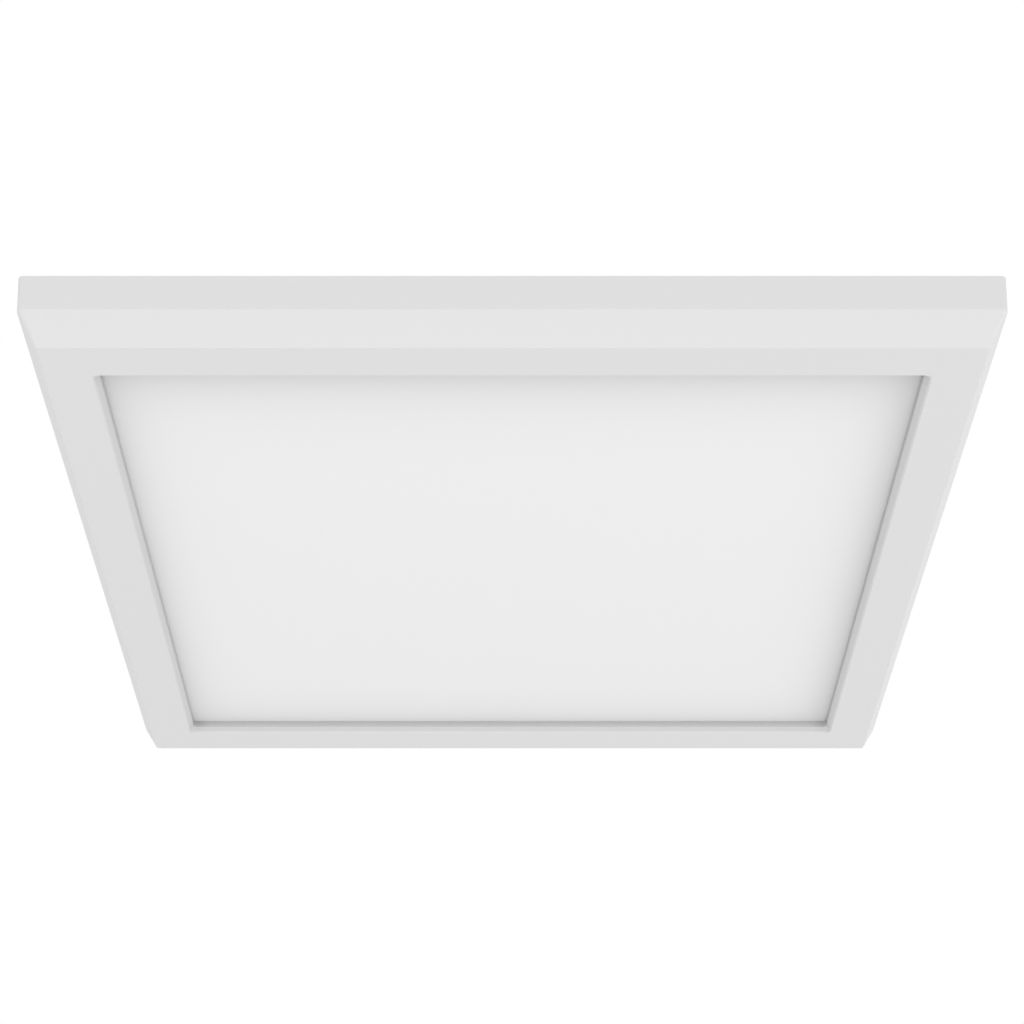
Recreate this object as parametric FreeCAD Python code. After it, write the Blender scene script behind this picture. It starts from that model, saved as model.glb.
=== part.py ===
import FreeCAD, Part
import math
import os

# A square, edge-lit LED ceiling light that snaps onto a plate screwed to the ceiling box.
# Millimetres. +Z is up, the ceiling is the plane Z = 0 and the light hangs below it.
# The origin is the middle of the mounting plate's top face, and the front is towards -Y.

Vector = FreeCAD.Vector

# ---- Outer form of the trim frame ----
RIM_SIZE = 300.0  # square rim against the ceiling, side to side
RIM_CORNER_RADIUS = 2.0
WALL_HEIGHT = 11.85  # upright wall under the rim
WALL_DRAFT_INSET = 0.66  # how far that wall leans in over its height
CHAMFER_DROP = 10.2  # sloping band under the wall
CHAMFER_INSET = 5.65
FACE_CORNER_RADIUS = 1.2
FACE_BORDER = 14.9  # flat face, from its outer edge to the opening
OPENING_CORNER_RADIUS = 3.0
BEVEL_WIDTH = 1.92  # sloping edge of the opening
BEVEL_DROP = 1.86
WINDOW_CORNER_RADIUS = 1.1
LENS_RECESS = 4.25  # from the face up to the diffuser
SHELL_WALL = 2.2
CAVITY_CORNER_RADIUS = 1.1  # inside the frame, and of the ledge
WALL_EDGE_ROUND = 0.6
FACE_EDGE_ROUND = 0.4

# ---- Optical stack ----
DIFFUSER_THICKNESS = 2.0
DIFFUSER_SEAT = 3.75  # how far the diffuser lies on the frame's ledge
DIFFUSER_GAP = 0.4  # between the diffuser's edge and the end of the ledge
GUIDE_THICKNESS = 3.0
GUIDE_INSET = 0.4  # how much smaller the guide is than the diffuser, each side
REFLECTOR_THICKNESS = 0.3
FOAM_THICKNESS = 1.1
FOAM_WIDTH = 24.0
FOAM_LENGTH = 230.0
FOAM_SCREW_GAP = 12.0  # from the driver's screw columns to the short strip under the driver
SHEET_CORNER_RADIUS = 1.5

# ---- Light strips along the left and right edges ----
LED_GAP = 0.3
LED_THICKNESS = 0.7
LED_HEIGHT = 2.8
LED_LENGTH = 3.5
LED_PITCH = 6.5
LED_END_MARGIN = 10.0
LED_BOARD_THICKNESS = 1.0
LED_BOARD_HEIGHT = 3.9
LED_BOARD_INSET = 3.2  # from the guide's corner to the board's end
RAIL_THICKNESS = 1.2
RAIL_FOOT = 0.6  # how far the rail reaches below the guide
RAIL_LEG_GAP = 3.5  # from the grommet to the end of the rail's flat leg
LEG_THICKNESS = 1.0  # flat leg of the rails and of the edge spacers
SPACER_THICKNESS = 1.6
SPACER_GAP = 0.2
SPACER_END_GAP = 4.5

# ---- Fasteners ----
SCREW_RADIUS = 1.5
SCREW_LENGTH = 7.2
SCREW_HEAD_RADIUS = 2.8
SCREW_HEAD_HEIGHT = 1.8
SCREW_POINT = 0.5  # chamfer on the end of the shank
SCREW_OFFSET = 5.2  # from the rail's upright leg to the line of screws
SCREW_SPACING = 88.0
SCREWS_PER_SIDE = 3
BOSS_RADIUS = 3.2
BOSS_DEPTH_SPARE = 0.3
LEG_MARGIN = 2.7
HOLE_CLEARANCE = 0.2  # round a fastener that passes through
THREAD_CLEARANCE = 0.05  # round a fastener that is driven in
CROSS_ARM_SHARE = 0.25  # width of a cross recess's arms over its length

# ---- Back pan ----
PAN_THICKNESS = 0.8
PAN_GAP = 1.6  # to the frame's wall
PAN_CORNER_RADIUS = 5.0
PAN_LIP_HEIGHT = 2.6
BEAD_WIDTH = 8.0
BEAD_HEIGHT = 0.8
BEAD_INSET = 21.6  # from the line of screws to the middle of the outer beads
BEAD_GAP = 16.0  # from the mounting plate to the middle of the inner bead
FRONT_BEAD_LENGTH = 230.0
SIDE_BEAD_LENGTH = 110.0

# ---- Mounting plate ----
PLATE_LENGTH = 120.0
PLATE_WIDTH = 110.0
PLATE_THICKNESS = 1.2
PLATE_CORNER_RADIUS = 5.0
BEND_RADIUS = 0.5
WIRE_HOLE_RADIUS = 20.0
BOX_SCREW_SPACING = 79.4
BOX_SLOT_LENGTH = 24.0
BOX_SLOT_WIDTH = 4.6
PLATE_HOLE_RADIUS = 2.3  # for a screw straight into the ceiling
PLATE_HOLE_INSET = 12.0  # from the plate's edges
SIDE_FLANGE_DEPTH = 8.6
SIDE_FLANGE_LENGTH = 36.0
END_FLANGE_DEPTH = 4.0
END_FLANGE_LENGTH = 92.0
FLANGE_RELIEF = 2.0  # the plate between the flanges stands back by this
CATCH_WINDOW_LENGTH = 22.0
CATCH_WINDOW_HEIGHT = 3.0
CATCH_WINDOW_SILL = 2.5  # metal left under the window
GROUND_SCREW_X = -38.0
GROUND_SCREW_Y = 30.0
GROUND_SCREW_RADIUS = 2.0
GROUND_WASHER_RADIUS = 4.6
GROUND_WASHER_THICKNESS = 0.8
GROUND_HEAD_RADIUS = 3.8
GROUND_HEAD_HEIGHT = 2.2
GROUND_SLOT_WIDTH = 1.1
GROUND_SLOT_DEPTH = 1.1

# ---- Spring clips ----
CLIP_THICKNESS = 0.5
CLIP_WIDTH = 20.0
CLIP_TAB_START = 5.2  # from the plate's flange to the clip's foot
CLIP_TAB_LENGTH = 13.0
CLIP_CATCH = 0.8  # how far the nose reaches into the flange's window
CLIP_FLARE = 2.9
CLIP_FOOT_BEND = 1.5
CLIP_NOSE_BEND = 0.8
RIVET_RADIUS = 1.5
RIVET_HEAD_RADIUS = 2.6
RIVET_HEAD_HEIGHT = 0.9
RIVET_HEAD_ROUND = 0.7
RIVET_TAIL_RADIUS = 2.2
RIVET_TAIL_HEIGHT = 0.7
RIVET_SPACING = 12.0

# ---- Driver ----
DRIVER_LENGTH = 170.0
DRIVER_WIDTH = 36.0
DRIVER_GAP = 25.0  # from the mounting plate to the driver
DRIVER_TOP_GAP = 1.2  # from the ceiling to the cover
CASE_WALL = 1.2
CASE_FLOOR = 1.0
CASE_CORNER_RADIUS = 2.0
COVER_THICKNESS = 1.2
COVER_LIP_DEPTH = 1.8
COVER_LIP_WALL = 0.8
COVER_LIP_RADIUS = 0.8
COVER_LIP_INNER_RADIUS = 0.4
COVER_LIP_CLEARANCE = 0.15
COLUMN_RADIUS = 2.8
COLUMN_BITE = 0.3  # how far a screw column runs into the case's walls
CASE_SCREW_RADIUS = 1.4
CASE_SCREW_HEAD_RADIUS = 2.6
CASE_SCREW_REACH = 0.5  # how far the screws come through the pan
BOARD_STANDOFF = 0.5
STANDOFF_RADIUS = 2.0
STANDOFF_INSET = 6.0
BOARD_THICKNESS = 1.0
BOARD_END_GAP = 7.5
BOARD_SIDE_GAP = 2.0
COMPONENT_HEIGHT = 5.2
TRANSFORMER_X = 28.0
TRANSFORMER_LENGTH = 18.0
TRANSFORMER_WIDTH = 16.0
TRANSFORMER_YOKE = 1.8  # width of the core's outer limbs
TRANSFORMER_PLATE = 0.6  # thickness of the core over and under the winding
WINDING_CORNER_RADIUS = 3.1
CAPACITOR_X = -28.0
CAPACITOR_LENGTH = 11.0
CAPACITOR_PITCH = 6.4
CAPACITOR_ROUND = 0.5
CHOKE_X = -51.0
CHOKE_RADIUS = 5.2
CHOKE_BORE_RADIUS = 2.4
CHOKE_HEIGHT = 4.6
CHOKE_ROUND = 0.9
# Each chip: X, then Y from the driver's middle, then its length, width and height.
CHIPS = (
    (-11.0, 9.0, 5.0, 4.0, 1.6),
    (2.0, 4.0, 5.0, 4.0, 1.5),
    (2.0, -4.0, 6.5, 6.0, 2.2),
    (46.0, 2.0, 4.6, 2.6, 2.0),
    (46.0, -3.0, 4.6, 2.6, 2.0),
)

# ---- Supply terminal ----
TERMINAL_POLES = 3
TERMINAL_PITCH = 8.0
TERMINAL_DEPTH = 15.6
TERMINAL_SIDE_WALL = 1.4
TERMINAL_HEIGHT = 8.0
TERMINAL_EDGE = 0.5
TERMINAL_CASE_GAP = 0.4
PORT_RADIUS = 1.6
PORT_HEIGHT = 3.1  # of the port's axis above the pan
PORT_MOUTH_RADIUS = 2.2
PORT_MOUTH_DEPTH = 0.8
PROBE_HOLE_RADIUS = 0.8  # over each clamp, for a tester
PROBE_HOLE_SETBACK = 3.2  # from the block's rear
POLE_GROOVE_WIDTH = 0.5  # between two poles
POLE_GROOVE_DEPTH = 0.4
CONTACT_SIZE = 3.2
CONTACT_LENGTH = 6.4
CONTACT_CLEARANCE = 0.1
CONTACT_BORE_RADIUS = 1.1
CONTACT_BORE_DEPTH = 4.5
TAIL_WIDTH = 1.6
TAIL_THICKNESS = 0.6
TAIL_REACH = 5.0
BUTTON_LENGTH = 5.0
BUTTON_WIDTH = 4.2
BUTTON_HEIGHT = 4.0
BUTTON_PROUD = 1.0
BUTTON_TRAVEL = 1.0
BUTTON_SETBACK = 2.5
BUTTON_CLEARANCE = 0.2
BUTTON_ROUND = 0.3
TERMINAL_FOOT_LENGTH = 4.0
TERMINAL_FOOT_WIDTH = 1.6
TERMINAL_FOOT_HOOK = 0.6

# ---- Colour switch ----
SWITCH_X = 58.0
SWITCH_SETBACK = 6.5  # from the driver's front wall to the switch's middle
SWITCH_LENGTH = 12.0
SWITCH_WIDTH = 5.0
SWITCH_HEIGHT = 4.4
SWITCH_TRAVEL = 3.0  # each way from the middle position
SLIDER_LENGTH = 3.6
SLIDER_WIDTH = 2.2
SLIDER_DEPTH = 1.2
SLIDER_GROOVE_WIDTH = 0.9
SLIDER_GROOVE_DEPTH = 0.45
SLIDER_CLEARANCE = 0.2
SLIDER_TOP_GAP = 0.3  # the slider stays this far below the cover's top

# ---- Output leads ----
LEAD_RADIUS = 0.8
LEAD_SPACING = 2.0
LEAD_START = 11.0  # from the driver's end wall in to the soldered end
LEAD_EXIT = 6.0  # straight run outside the driver
LEAD_DESCENT = 10.0  # the stretch in which a lead comes down to the pan
LEAD_SETBACK = 20.0  # from the driver's rear wall
LEAD_TAIL_SPREAD = 1.8  # between the two soldered ends on a light strip
LEAD_END_MARGIN = 2.5
LEAD_HOLE_CLEARANCE = 0.1
LEAD_GROMMET_RISE = 0.3  # how far the leads clear the grommet's rim
GROMMET_OFFSET = 0.9  # out from the line of screws
GROMMET_BORE_RADIUS = 2.4
GROMMET_NECK_RADIUS = 3.2
GROMMET_FLANGE_RADIUS = 4.2
GROMMET_FLANGE_THICKNESS = 0.8
LEAD_CLIP_LENGTH = 5.0
LEAD_CLIP_WIDTH = 12.0
LEAD_CLIP_WALL = 0.9
LEAD_CLIP_ROUND = 0.6
RUN_SHARE = 0.45  # of its shorter run, that a bend in a lead uses

# ---- Levels, from the face up to the ceiling ----
face_z = -(WALL_HEIGHT + CHAMFER_DROP)
face_inner_z = face_z + SHELL_WALL
lens_z = face_z + LENS_RECESS
diffuser_top = lens_z + DIFFUSER_THICKNESS
guide_top = diffuser_top + GUIDE_THICKNESS
reflector_top = guide_top + REFLECTOR_THICKNESS
pan_under = reflector_top + FOAM_THICKNESS
pan_top = pan_under + PAN_THICKNESS
leg_under = pan_under - LEG_THICKNESS
guide_middle = diffuser_top + GUIDE_THICKNESS / 2

# ---- Half sizes, from the rim in to the window and out again to the screws ----
rim_half = RIM_SIZE / 2
wall_foot_half = rim_half - WALL_DRAFT_INSET
face_half = wall_foot_half - CHAMFER_INSET
opening_half = face_half - FACE_BORDER
window_half = opening_half - BEVEL_WIDTH
diffuser_half = window_half + DIFFUSER_SEAT
ledge_half = diffuser_half + DIFFUSER_GAP
guide_half = diffuser_half - GUIDE_INSET
led_face = guide_half + LED_GAP
led_board_face = led_face + LED_THICKNESS
led_board_back = led_board_face + LED_BOARD_THICKNESS
rail_back = led_board_back + RAIL_THICKNESS
screw_line = rail_back + SCREW_OFFSET
leg_edge = screw_line + LEG_MARGIN
led_board_half = guide_half - LED_BOARD_INSET

# ---- Inside of the frame ----
wall_slope = WALL_DRAFT_INSET / WALL_HEIGHT
band_slope = CHAMFER_INSET / CHAMFER_DROP
band_wall = SHELL_WALL * math.hypot(1, band_slope)  # the sloping band's wall, measured level

# ---- Places on the back ----
plate_half_x = PLATE_LENGTH / 2
plate_half_y = PLATE_WIDTH / 2
driver_half = DRIVER_LENGTH / 2
driver_front = plate_half_y + DRIVER_GAP
driver_rear = driver_front + DRIVER_WIDTH
driver_middle = (driver_front + driver_rear) / 2
cover_top = -DRIVER_TOP_GAP
case_top = cover_top - COVER_THICKNESS
case_floor_top = pan_top + CASE_FLOOR
column_inset = CASE_WALL + COLUMN_RADIUS - COLUMN_BITE
board_under = case_floor_top + BOARD_STANDOFF
board_top = board_under + BOARD_THICKNESS
board_half_x = driver_half - BOARD_END_GAP
terminal_rear = driver_front - TERMINAL_CASE_GAP
terminal_front = terminal_rear - TERMINAL_DEPTH
terminal_top = pan_top + TERMINAL_HEIGHT
terminal_half = TERMINAL_POLES * TERMINAL_PITCH / 2 + TERMINAL_SIDE_WALL
port_z = pan_top + PORT_HEIGHT
window_sill = -SIDE_FLANGE_DEPTH + CATCH_WINDOW_SILL
switch_y = driver_front + SWITCH_SETBACK
lead_y = driver_rear - LEAD_SETBACK
lead_end_y = led_board_half - LEAD_END_MARGIN
grommet_x = screw_line + GROMMET_OFFSET

# ---- Drawing ----
corner_signs = ((1, 1), (-1, 1), (-1, -1), (1, -1))  # of X and Y, anticlockwise
SLOT_END_SHARE = 0.498  # of a slot's width: a hair under a half keeps its straight ends
LEVEL_TOLERANCE = 1e-4


def box(x0, x1, y0, y1, z0, z1):
    """A square-edged block between two corners."""
    return Part.makeBox(x1 - x0, y1 - y0, z1 - z0, Vector(x0, y0, z0))


def disc(x, y, z0, z1, radius):
    """An upright cylinder."""
    return Part.makeCylinder(radius, z1 - z0, Vector(x, y, z0))


def rounded_outline(half_x, half_y, radius, z, x=0.0, y=0.0):
    """A rectangle with rounded corners, as a closed wire at one level."""
    arcs = []
    for quarter, (sign_x, sign_y) in enumerate(corner_signs):
        points = []
        for step in (0, 45, 90):
            angle = math.radians(90 * quarter + step)
            along = x + sign_x * (half_x - radius) + radius * math.cos(angle)
            across = y + sign_y * (half_y - radius) + radius * math.sin(angle)
            points.append(Vector(along, across, z))
        arcs.append(points)
    edges = []
    for quarter in range(4):
        following = arcs[(quarter + 1) % 4]
        edges.append(Part.Arc(*arcs[quarter]).toShape())
        edges.append(Part.makeLine(arcs[quarter][2], following[0]))
    return Part.Wire(edges)


def slab(half_x, half_y, radius, z0, z1, x=0.0, y=0.0):
    """A plate with rounded corners between two levels."""
    outline = rounded_outline(half_x, half_y, radius, z0, x, y)
    return Part.Face(outline).extrude(Vector(0, 0, z1 - z0))


def slot(x, y, length, width, z0, z1, along_y=False):
    """A round-ended slot, along X unless it is turned."""
    half_x, half_y = length / 2, width / 2
    if along_y:
        half_x, half_y = half_y, half_x
    return slab(half_x, half_y, SLOT_END_SHARE * width, z0, z1, x, y)


def edges_at(shape, z):
    """The edges that lie in one level plane."""
    found = []
    for edge in shape.Edges:
        bounds = edge.BoundBox
        if abs(bounds.ZMin - z) < LEVEL_TOLERANCE and abs(bounds.ZMax - z) < LEVEL_TOLERANCE:
            found.append(edge)
    return found


def mirrored(shape):
    """The same shape on the other side, left for right."""
    return shape.mirror(Vector(0, 0, 0), Vector(1, 0, 0))


def bend_radius(before, corner, after):
    """The largest radius that leaves most of the shorter run beside a bend straight."""
    run_in = (corner - before).Length
    run_out = (after - corner).Length
    half_turn = (corner - before).getAngle(after - corner) / 2
    return RUN_SHARE * min(run_in, run_out) / math.tan(half_turn)


def rounded_path(points, radii):
    """Straight runs joined by tangent arcs."""
    edges = []
    start = points[0]
    for index, radius in enumerate(radii, 1):
        corner = points[index]
        back = (points[index - 1] - corner).normalize()
        ahead = (points[index + 1] - corner).normalize()
        half_turn = (math.pi - back.getAngle(ahead)) / 2
        tangent = radius * math.tan(half_turn)
        first = corner + back * tangent
        last = corner + ahead * tangent
        inward = (back + ahead).normalize()
        middle = corner + inward * (radius / math.cos(half_turn) - radius)
        edges.append(Part.makeLine(start, first))
        edges.append(Part.Arc(first, middle, last).toShape())
        start = last
    edges.append(Part.makeLine(start, points[-1]))
    return Part.Wire(edges)


def swept(path, profile):
    """A profile carried along a path as one solid."""
    return path.makePipeShell([profile], True, False)


def bent_tab(reach, depth, length):
    """A tab folded down from the plate's edge, at X = reach, with a rounded fold."""
    outer = BEND_RADIUS + PLATE_THICKNESS
    diagonal = math.sqrt(0.5)
    fold = Vector(reach - outer, 0, -outer)
    root = reach - outer - FLANGE_RELIEF
    inner_face = reach - PLATE_THICKNESS
    outer_middle = fold + Vector(outer * diagonal, 0, outer * diagonal)
    inner_middle = fold + Vector(BEND_RADIUS * diagonal, 0, BEND_RADIUS * diagonal)
    corners = (
        Vector(root, 0, 0),
        Vector(fold.x, 0, 0),
        Vector(reach, 0, -outer),
        Vector(reach, 0, -depth),
        Vector(inner_face, 0, -depth),
        Vector(inner_face, 0, -outer),
        Vector(fold.x, 0, -PLATE_THICKNESS),
        Vector(root, 0, -PLATE_THICKNESS),
    )
    edges = [
        Part.makeLine(corners[0], corners[1]),
        Part.Arc(corners[1], outer_middle, corners[2]).toShape(),
        Part.makeLine(corners[2], corners[3]),
        Part.makeLine(corners[3], corners[4]),
        Part.makeLine(corners[4], corners[5]),
        Part.Arc(corners[5], inner_middle, corners[6]).toShape(),
        Part.makeLine(corners[6], corners[7]),
        Part.makeLine(corners[7], corners[0]),
    ]
    tab = Part.Face(Part.Wire(edges)).extrude(Vector(0, length, 0))
    tab.translate(Vector(0, -length / 2, 0))
    return tab


def cross_recess(x, y, top, size, depth):
    """The cross that a driver bit turns."""
    half = size / 2
    half_arm = half * CROSS_ARM_SHARE
    across = box(x - half, x + half, y - half_arm, y + half_arm, top - depth, top)
    along = box(x - half_arm, x + half_arm, y - half, y + half, top - depth, top)
    return across.fuse(along)


def pan_head_screw(x, y, seat, length):
    """A screw with a low rounded head on its seat, pointing down."""
    head = disc(x, y, seat, seat + SCREW_HEAD_HEIGHT, SCREW_HEAD_RADIUS)
    head = head.makeFillet(SCREW_HEAD_HEIGHT / 2, edges_at(head, seat + SCREW_HEAD_HEIGHT))
    shank = disc(x, y, seat - length, seat, SCREW_RADIUS)
    shank = shank.makeChamfer(SCREW_POINT, edges_at(shank, seat - length))
    recess = cross_recess(x, y, seat + SCREW_HEAD_HEIGHT, SCREW_HEAD_RADIUS, SCREW_HEAD_HEIGHT / 2)
    return head.fuse(shank).cut(recess).removeSplitter()


def frame_inner_half(z):
    """Half the clear width inside the frame's wall or sloping band at one level."""
    inside_wall = rim_half - SHELL_WALL + wall_slope * z
    inside_band = wall_foot_half - band_wall + band_slope * (z + WALL_HEIGHT)
    return min(inside_wall, inside_band)


def frame_inner_foot():
    """The level where the inside of the wall meets the inside of the sloping band."""
    rise = rim_half - SHELL_WALL - wall_foot_half + band_wall - band_slope * WALL_HEIGHT
    return rise / (band_slope - wall_slope)


def frame_screw_places():
    """The middle of each back pan screw, as pairs of X and Y."""
    places = []
    for index in range(SCREWS_PER_SIDE):
        along = (index - (SCREWS_PER_SIDE - 1) / 2) * SCREW_SPACING
        places += [(screw_line, along), (-screw_line, along)]
        places += [(along, screw_line), (along, -screw_line)]
    return places


def trim_frame():
    """The cast frame: wall, sloping band, flat face, bevelled opening, ledge and bosses."""
    levels = (
        (rim_half, RIM_CORNER_RADIUS, 0.0),
        (wall_foot_half, RIM_CORNER_RADIUS, -WALL_HEIGHT),
        (face_half, FACE_CORNER_RADIUS, face_z),
    )
    outlines = [rounded_outline(half, half, radius, z) for half, radius, z in levels]
    outer = Part.makeLoft(outlines, True, True)
    outer = outer.makeFillet(WALL_EDGE_ROUND, edges_at(outer, -WALL_HEIGHT))
    outer = outer.makeFillet(FACE_EDGE_ROUND, edges_at(outer, face_z))
    inner_outlines = []
    for z in (0.0, frame_inner_foot(), face_inner_z):
        half = frame_inner_half(z)
        inner_outlines.append(rounded_outline(half, half, CAVITY_CORNER_RADIUS, z))
    cavity = Part.makeLoft(inner_outlines, True, True)
    bevel_z = face_z + BEVEL_DROP
    bevel_outlines = [
        rounded_outline(opening_half, opening_half, OPENING_CORNER_RADIUS, face_z),
        rounded_outline(window_half, window_half, WINDOW_CORNER_RADIUS, bevel_z),
    ]
    bevel = Part.makeLoft(bevel_outlines, True, True)
    window = slab(window_half, window_half, WINDOW_CORNER_RADIUS, bevel_z, lens_z)
    ledge = slab(ledge_half, ledge_half, CAVITY_CORNER_RADIUS, face_inner_z, lens_z)
    bosses = [disc(x, y, face_inner_z, leg_under, BOSS_RADIUS) for x, y in frame_screw_places()]
    hole_foot = pan_top - SCREW_LENGTH - BOSS_DEPTH_SPARE
    hole_radius = SCREW_RADIUS + THREAD_CLEARANCE
    holes = [disc(x, y, hole_foot, leg_under, hole_radius) for x, y in frame_screw_places()]
    shell = outer.cut(cavity).fuse([ledge] + bosses)
    return shell.cut([bevel, window] + holes).removeSplitter()


def diffuser():
    """The opal sheet that shows in the opening."""
    return slab(diffuser_half, diffuser_half, SHEET_CORNER_RADIUS, lens_z, diffuser_top)


def light_guide():
    """The clear sheet that the strips shine into from its edges."""
    return slab(guide_half, guide_half, SHEET_CORNER_RADIUS, diffuser_top, guide_top)


def reflector_sheet():
    """The white film behind the guide."""
    return slab(guide_half, guide_half, SHEET_CORNER_RADIUS, guide_top, reflector_top)


def foam_rows():
    """The middle and half length of each foam strip, from the front one to the one under the driver."""
    between_columns = driver_half - column_inset - COLUMN_RADIUS - FOAM_SCREW_GAP
    return (
        (-driver_middle, FOAM_LENGTH / 2),
        (-plate_half_y + FOAM_WIDTH / 2, FOAM_LENGTH / 2),
        (plate_half_y - FOAM_WIDTH / 2, FOAM_LENGTH / 2),
        (driver_middle, between_columns),
    )


def backing_foam():
    """Soft strips that press the sheets onto the frame's ledge."""
    strips = []
    for y, half_length in foam_rows():
        strip = slab(half_length, FOAM_WIDTH / 2, SHEET_CORNER_RADIUS, reflector_top, pan_under, y=y)
        strips.append(strip)
    return strips


def case_screw_places():
    """The middle of each driver case screw."""
    half_x = driver_half - column_inset
    half_y = DRIVER_WIDTH / 2 - column_inset
    return [(sign_x * half_x, driver_middle + sign_y * half_y) for sign_x, sign_y in corner_signs]


def rivet_places():
    """The middle of each rivet that holds a spring clip."""
    x = plate_half_x + CLIP_TAB_START + CLIP_TAB_LENGTH / 2
    return [(sign_x * x, sign_y * RIVET_SPACING / 2) for sign_x, sign_y in corner_signs]


def terminal_foot_places():
    """The middle of each foot that clips the terminal block into the pan."""
    x = terminal_half - TERMINAL_SIDE_WALL - TERMINAL_FOOT_LENGTH / 2
    y = (terminal_front + terminal_rear) / 2
    return [(x, y), (-x, y)]


def pan_beads():
    """The middle, length and direction of each stiffening bead."""
    outer = screw_line - BEAD_INSET
    return (
        (0.0, -outer, FRONT_BEAD_LENGTH, False),
        (0.0, -plate_half_y - BEAD_GAP, FRONT_BEAD_LENGTH, False),
        (outer, 0.0, SIDE_BEAD_LENGTH, True),
        (-outer, 0.0, SIDE_BEAD_LENGTH, True),
    )


def back_pan():
    """The steel tray that closes the back, with raised beads and a turned-up edge."""
    half = frame_inner_half(pan_under) - PAN_GAP
    inner_half = half - PAN_THICKNESS
    inner_radius = PAN_CORNER_RADIUS - PAN_THICKNESS
    lip_top = pan_top + PAN_LIP_HEIGHT
    pan = slab(half, half, PAN_CORNER_RADIUS, pan_under, lip_top)
    pan = pan.cut(slab(inner_half, inner_half, inner_radius, pan_top, lip_top))
    raised = []
    hollows = []
    for x, y, length, along_y in pan_beads():
        inner_length = length - 2 * PAN_THICKNESS
        inner_width = BEAD_WIDTH - 2 * PAN_THICKNESS
        bead_top = pan_top + BEAD_HEIGHT
        hollow_top = pan_under + BEAD_HEIGHT
        raised.append(slot(x, y, length, BEAD_WIDTH, pan_top, bead_top, along_y))
        hollows.append(slot(x, y, inner_length, inner_width, pan_under, hollow_top, along_y))
    holes = []
    for x, y in frame_screw_places():
        holes.append(disc(x, y, pan_under, pan_top, SCREW_RADIUS + HOLE_CLEARANCE))
    for x, y in case_screw_places():
        holes.append(disc(x, y, pan_under, pan_top, CASE_SCREW_RADIUS + THREAD_CLEARANCE))
    for x, y in rivet_places():
        holes.append(disc(x, y, pan_under, pan_top, RIVET_RADIUS + THREAD_CLEARANCE))
    for side in (1, -1):
        holes.append(disc(side * grommet_x, lead_end_y, pan_under, pan_top, GROMMET_NECK_RADIUS))
    for x, y in terminal_foot_places():
        half_x = TERMINAL_FOOT_LENGTH / 2 + CONTACT_CLEARANCE
        half_y = TERMINAL_FOOT_WIDTH / 2 + CONTACT_CLEARANCE
        holes.append(box(x - half_x, x + half_x, y - half_y, y + half_y, pan_under, pan_top))
    return pan.fuse(raised).cut(hollows + holes).removeSplitter()


def right_led_rail():
    """The angle that carries the right light strip and takes its heat to the pan."""
    half_length = led_board_half + LED_GAP + LED_THICKNESS
    leg_half_length = lead_end_y - GROMMET_FLANGE_RADIUS - RAIL_LEG_GAP
    foot = diffuser_top - RAIL_FOOT
    upright = box(led_board_back, rail_back, -half_length, half_length, foot, pan_under)
    leg = box(led_board_back, leg_edge, -leg_half_length, leg_half_length, leg_under, pan_under)
    cuts = []
    for x, y in frame_screw_places():
        if x > led_board_back:
            cuts.append(disc(x, y, leg_under, pan_under, SCREW_RADIUS + HOLE_CLEARANCE))
    lead_half = LEAD_RADIUS + HOLE_CLEARANCE
    notch_top = guide_middle + LEAD_TAIL_SPREAD / 2 + lead_half
    notch_ends = (lead_end_y - lead_half, lead_end_y + lead_half)
    cuts.append(box(led_board_back, rail_back, *notch_ends, face_inner_z, notch_top))
    return upright.fuse(leg).cut(cuts).removeSplitter()


def right_led_board():
    """The strip's circuit board, on edge against the rail."""
    half_height = LED_BOARD_HEIGHT / 2
    return box(
        led_board_face,
        led_board_back,
        -led_board_half,
        led_board_half,
        guide_middle - half_height,
        guide_middle + half_height,
    )


def right_leds():
    """The row of chips that face the guide's edge."""
    count = int(2 * (led_board_half - LED_END_MARGIN) / LED_PITCH)
    chips = []
    for index in range(count):
        y = (index - (count - 1) / 2) * LED_PITCH
        low, high = guide_middle - LED_HEIGHT / 2, guide_middle + LED_HEIGHT / 2
        chips.append(box(led_face, led_board_face, y - LED_LENGTH / 2, y + LED_LENGTH / 2, low, high))
    return chips


def rear_edge_spacer():
    """The white moulding that centres the guide and closes its rear edge."""
    inner = guide_half + SPACER_GAP
    half_length = guide_half - SPACER_END_GAP
    upright = box(-half_length, half_length, inner, inner + SPACER_THICKNESS, diffuser_top, pan_under)
    leg = box(-half_length, half_length, inner, leg_edge, leg_under, pan_under)
    holes = []
    for x, y in frame_screw_places():
        if y > inner:
            holes.append(disc(x, y, leg_under, pan_under, SCREW_RADIUS + HOLE_CLEARANCE))
    return upright.fuse(leg).cut(holes).removeSplitter()


def front_edge_spacer():
    """The same moulding at the front."""
    return rear_edge_spacer().mirror(Vector(0, 0, 0), Vector(0, 1, 0))


def back_pan_screws():
    """The screws through the pan and its rails into the frame's bosses."""
    return [pan_head_screw(x, y, pan_top, SCREW_LENGTH) for x, y in frame_screw_places()]


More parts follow.
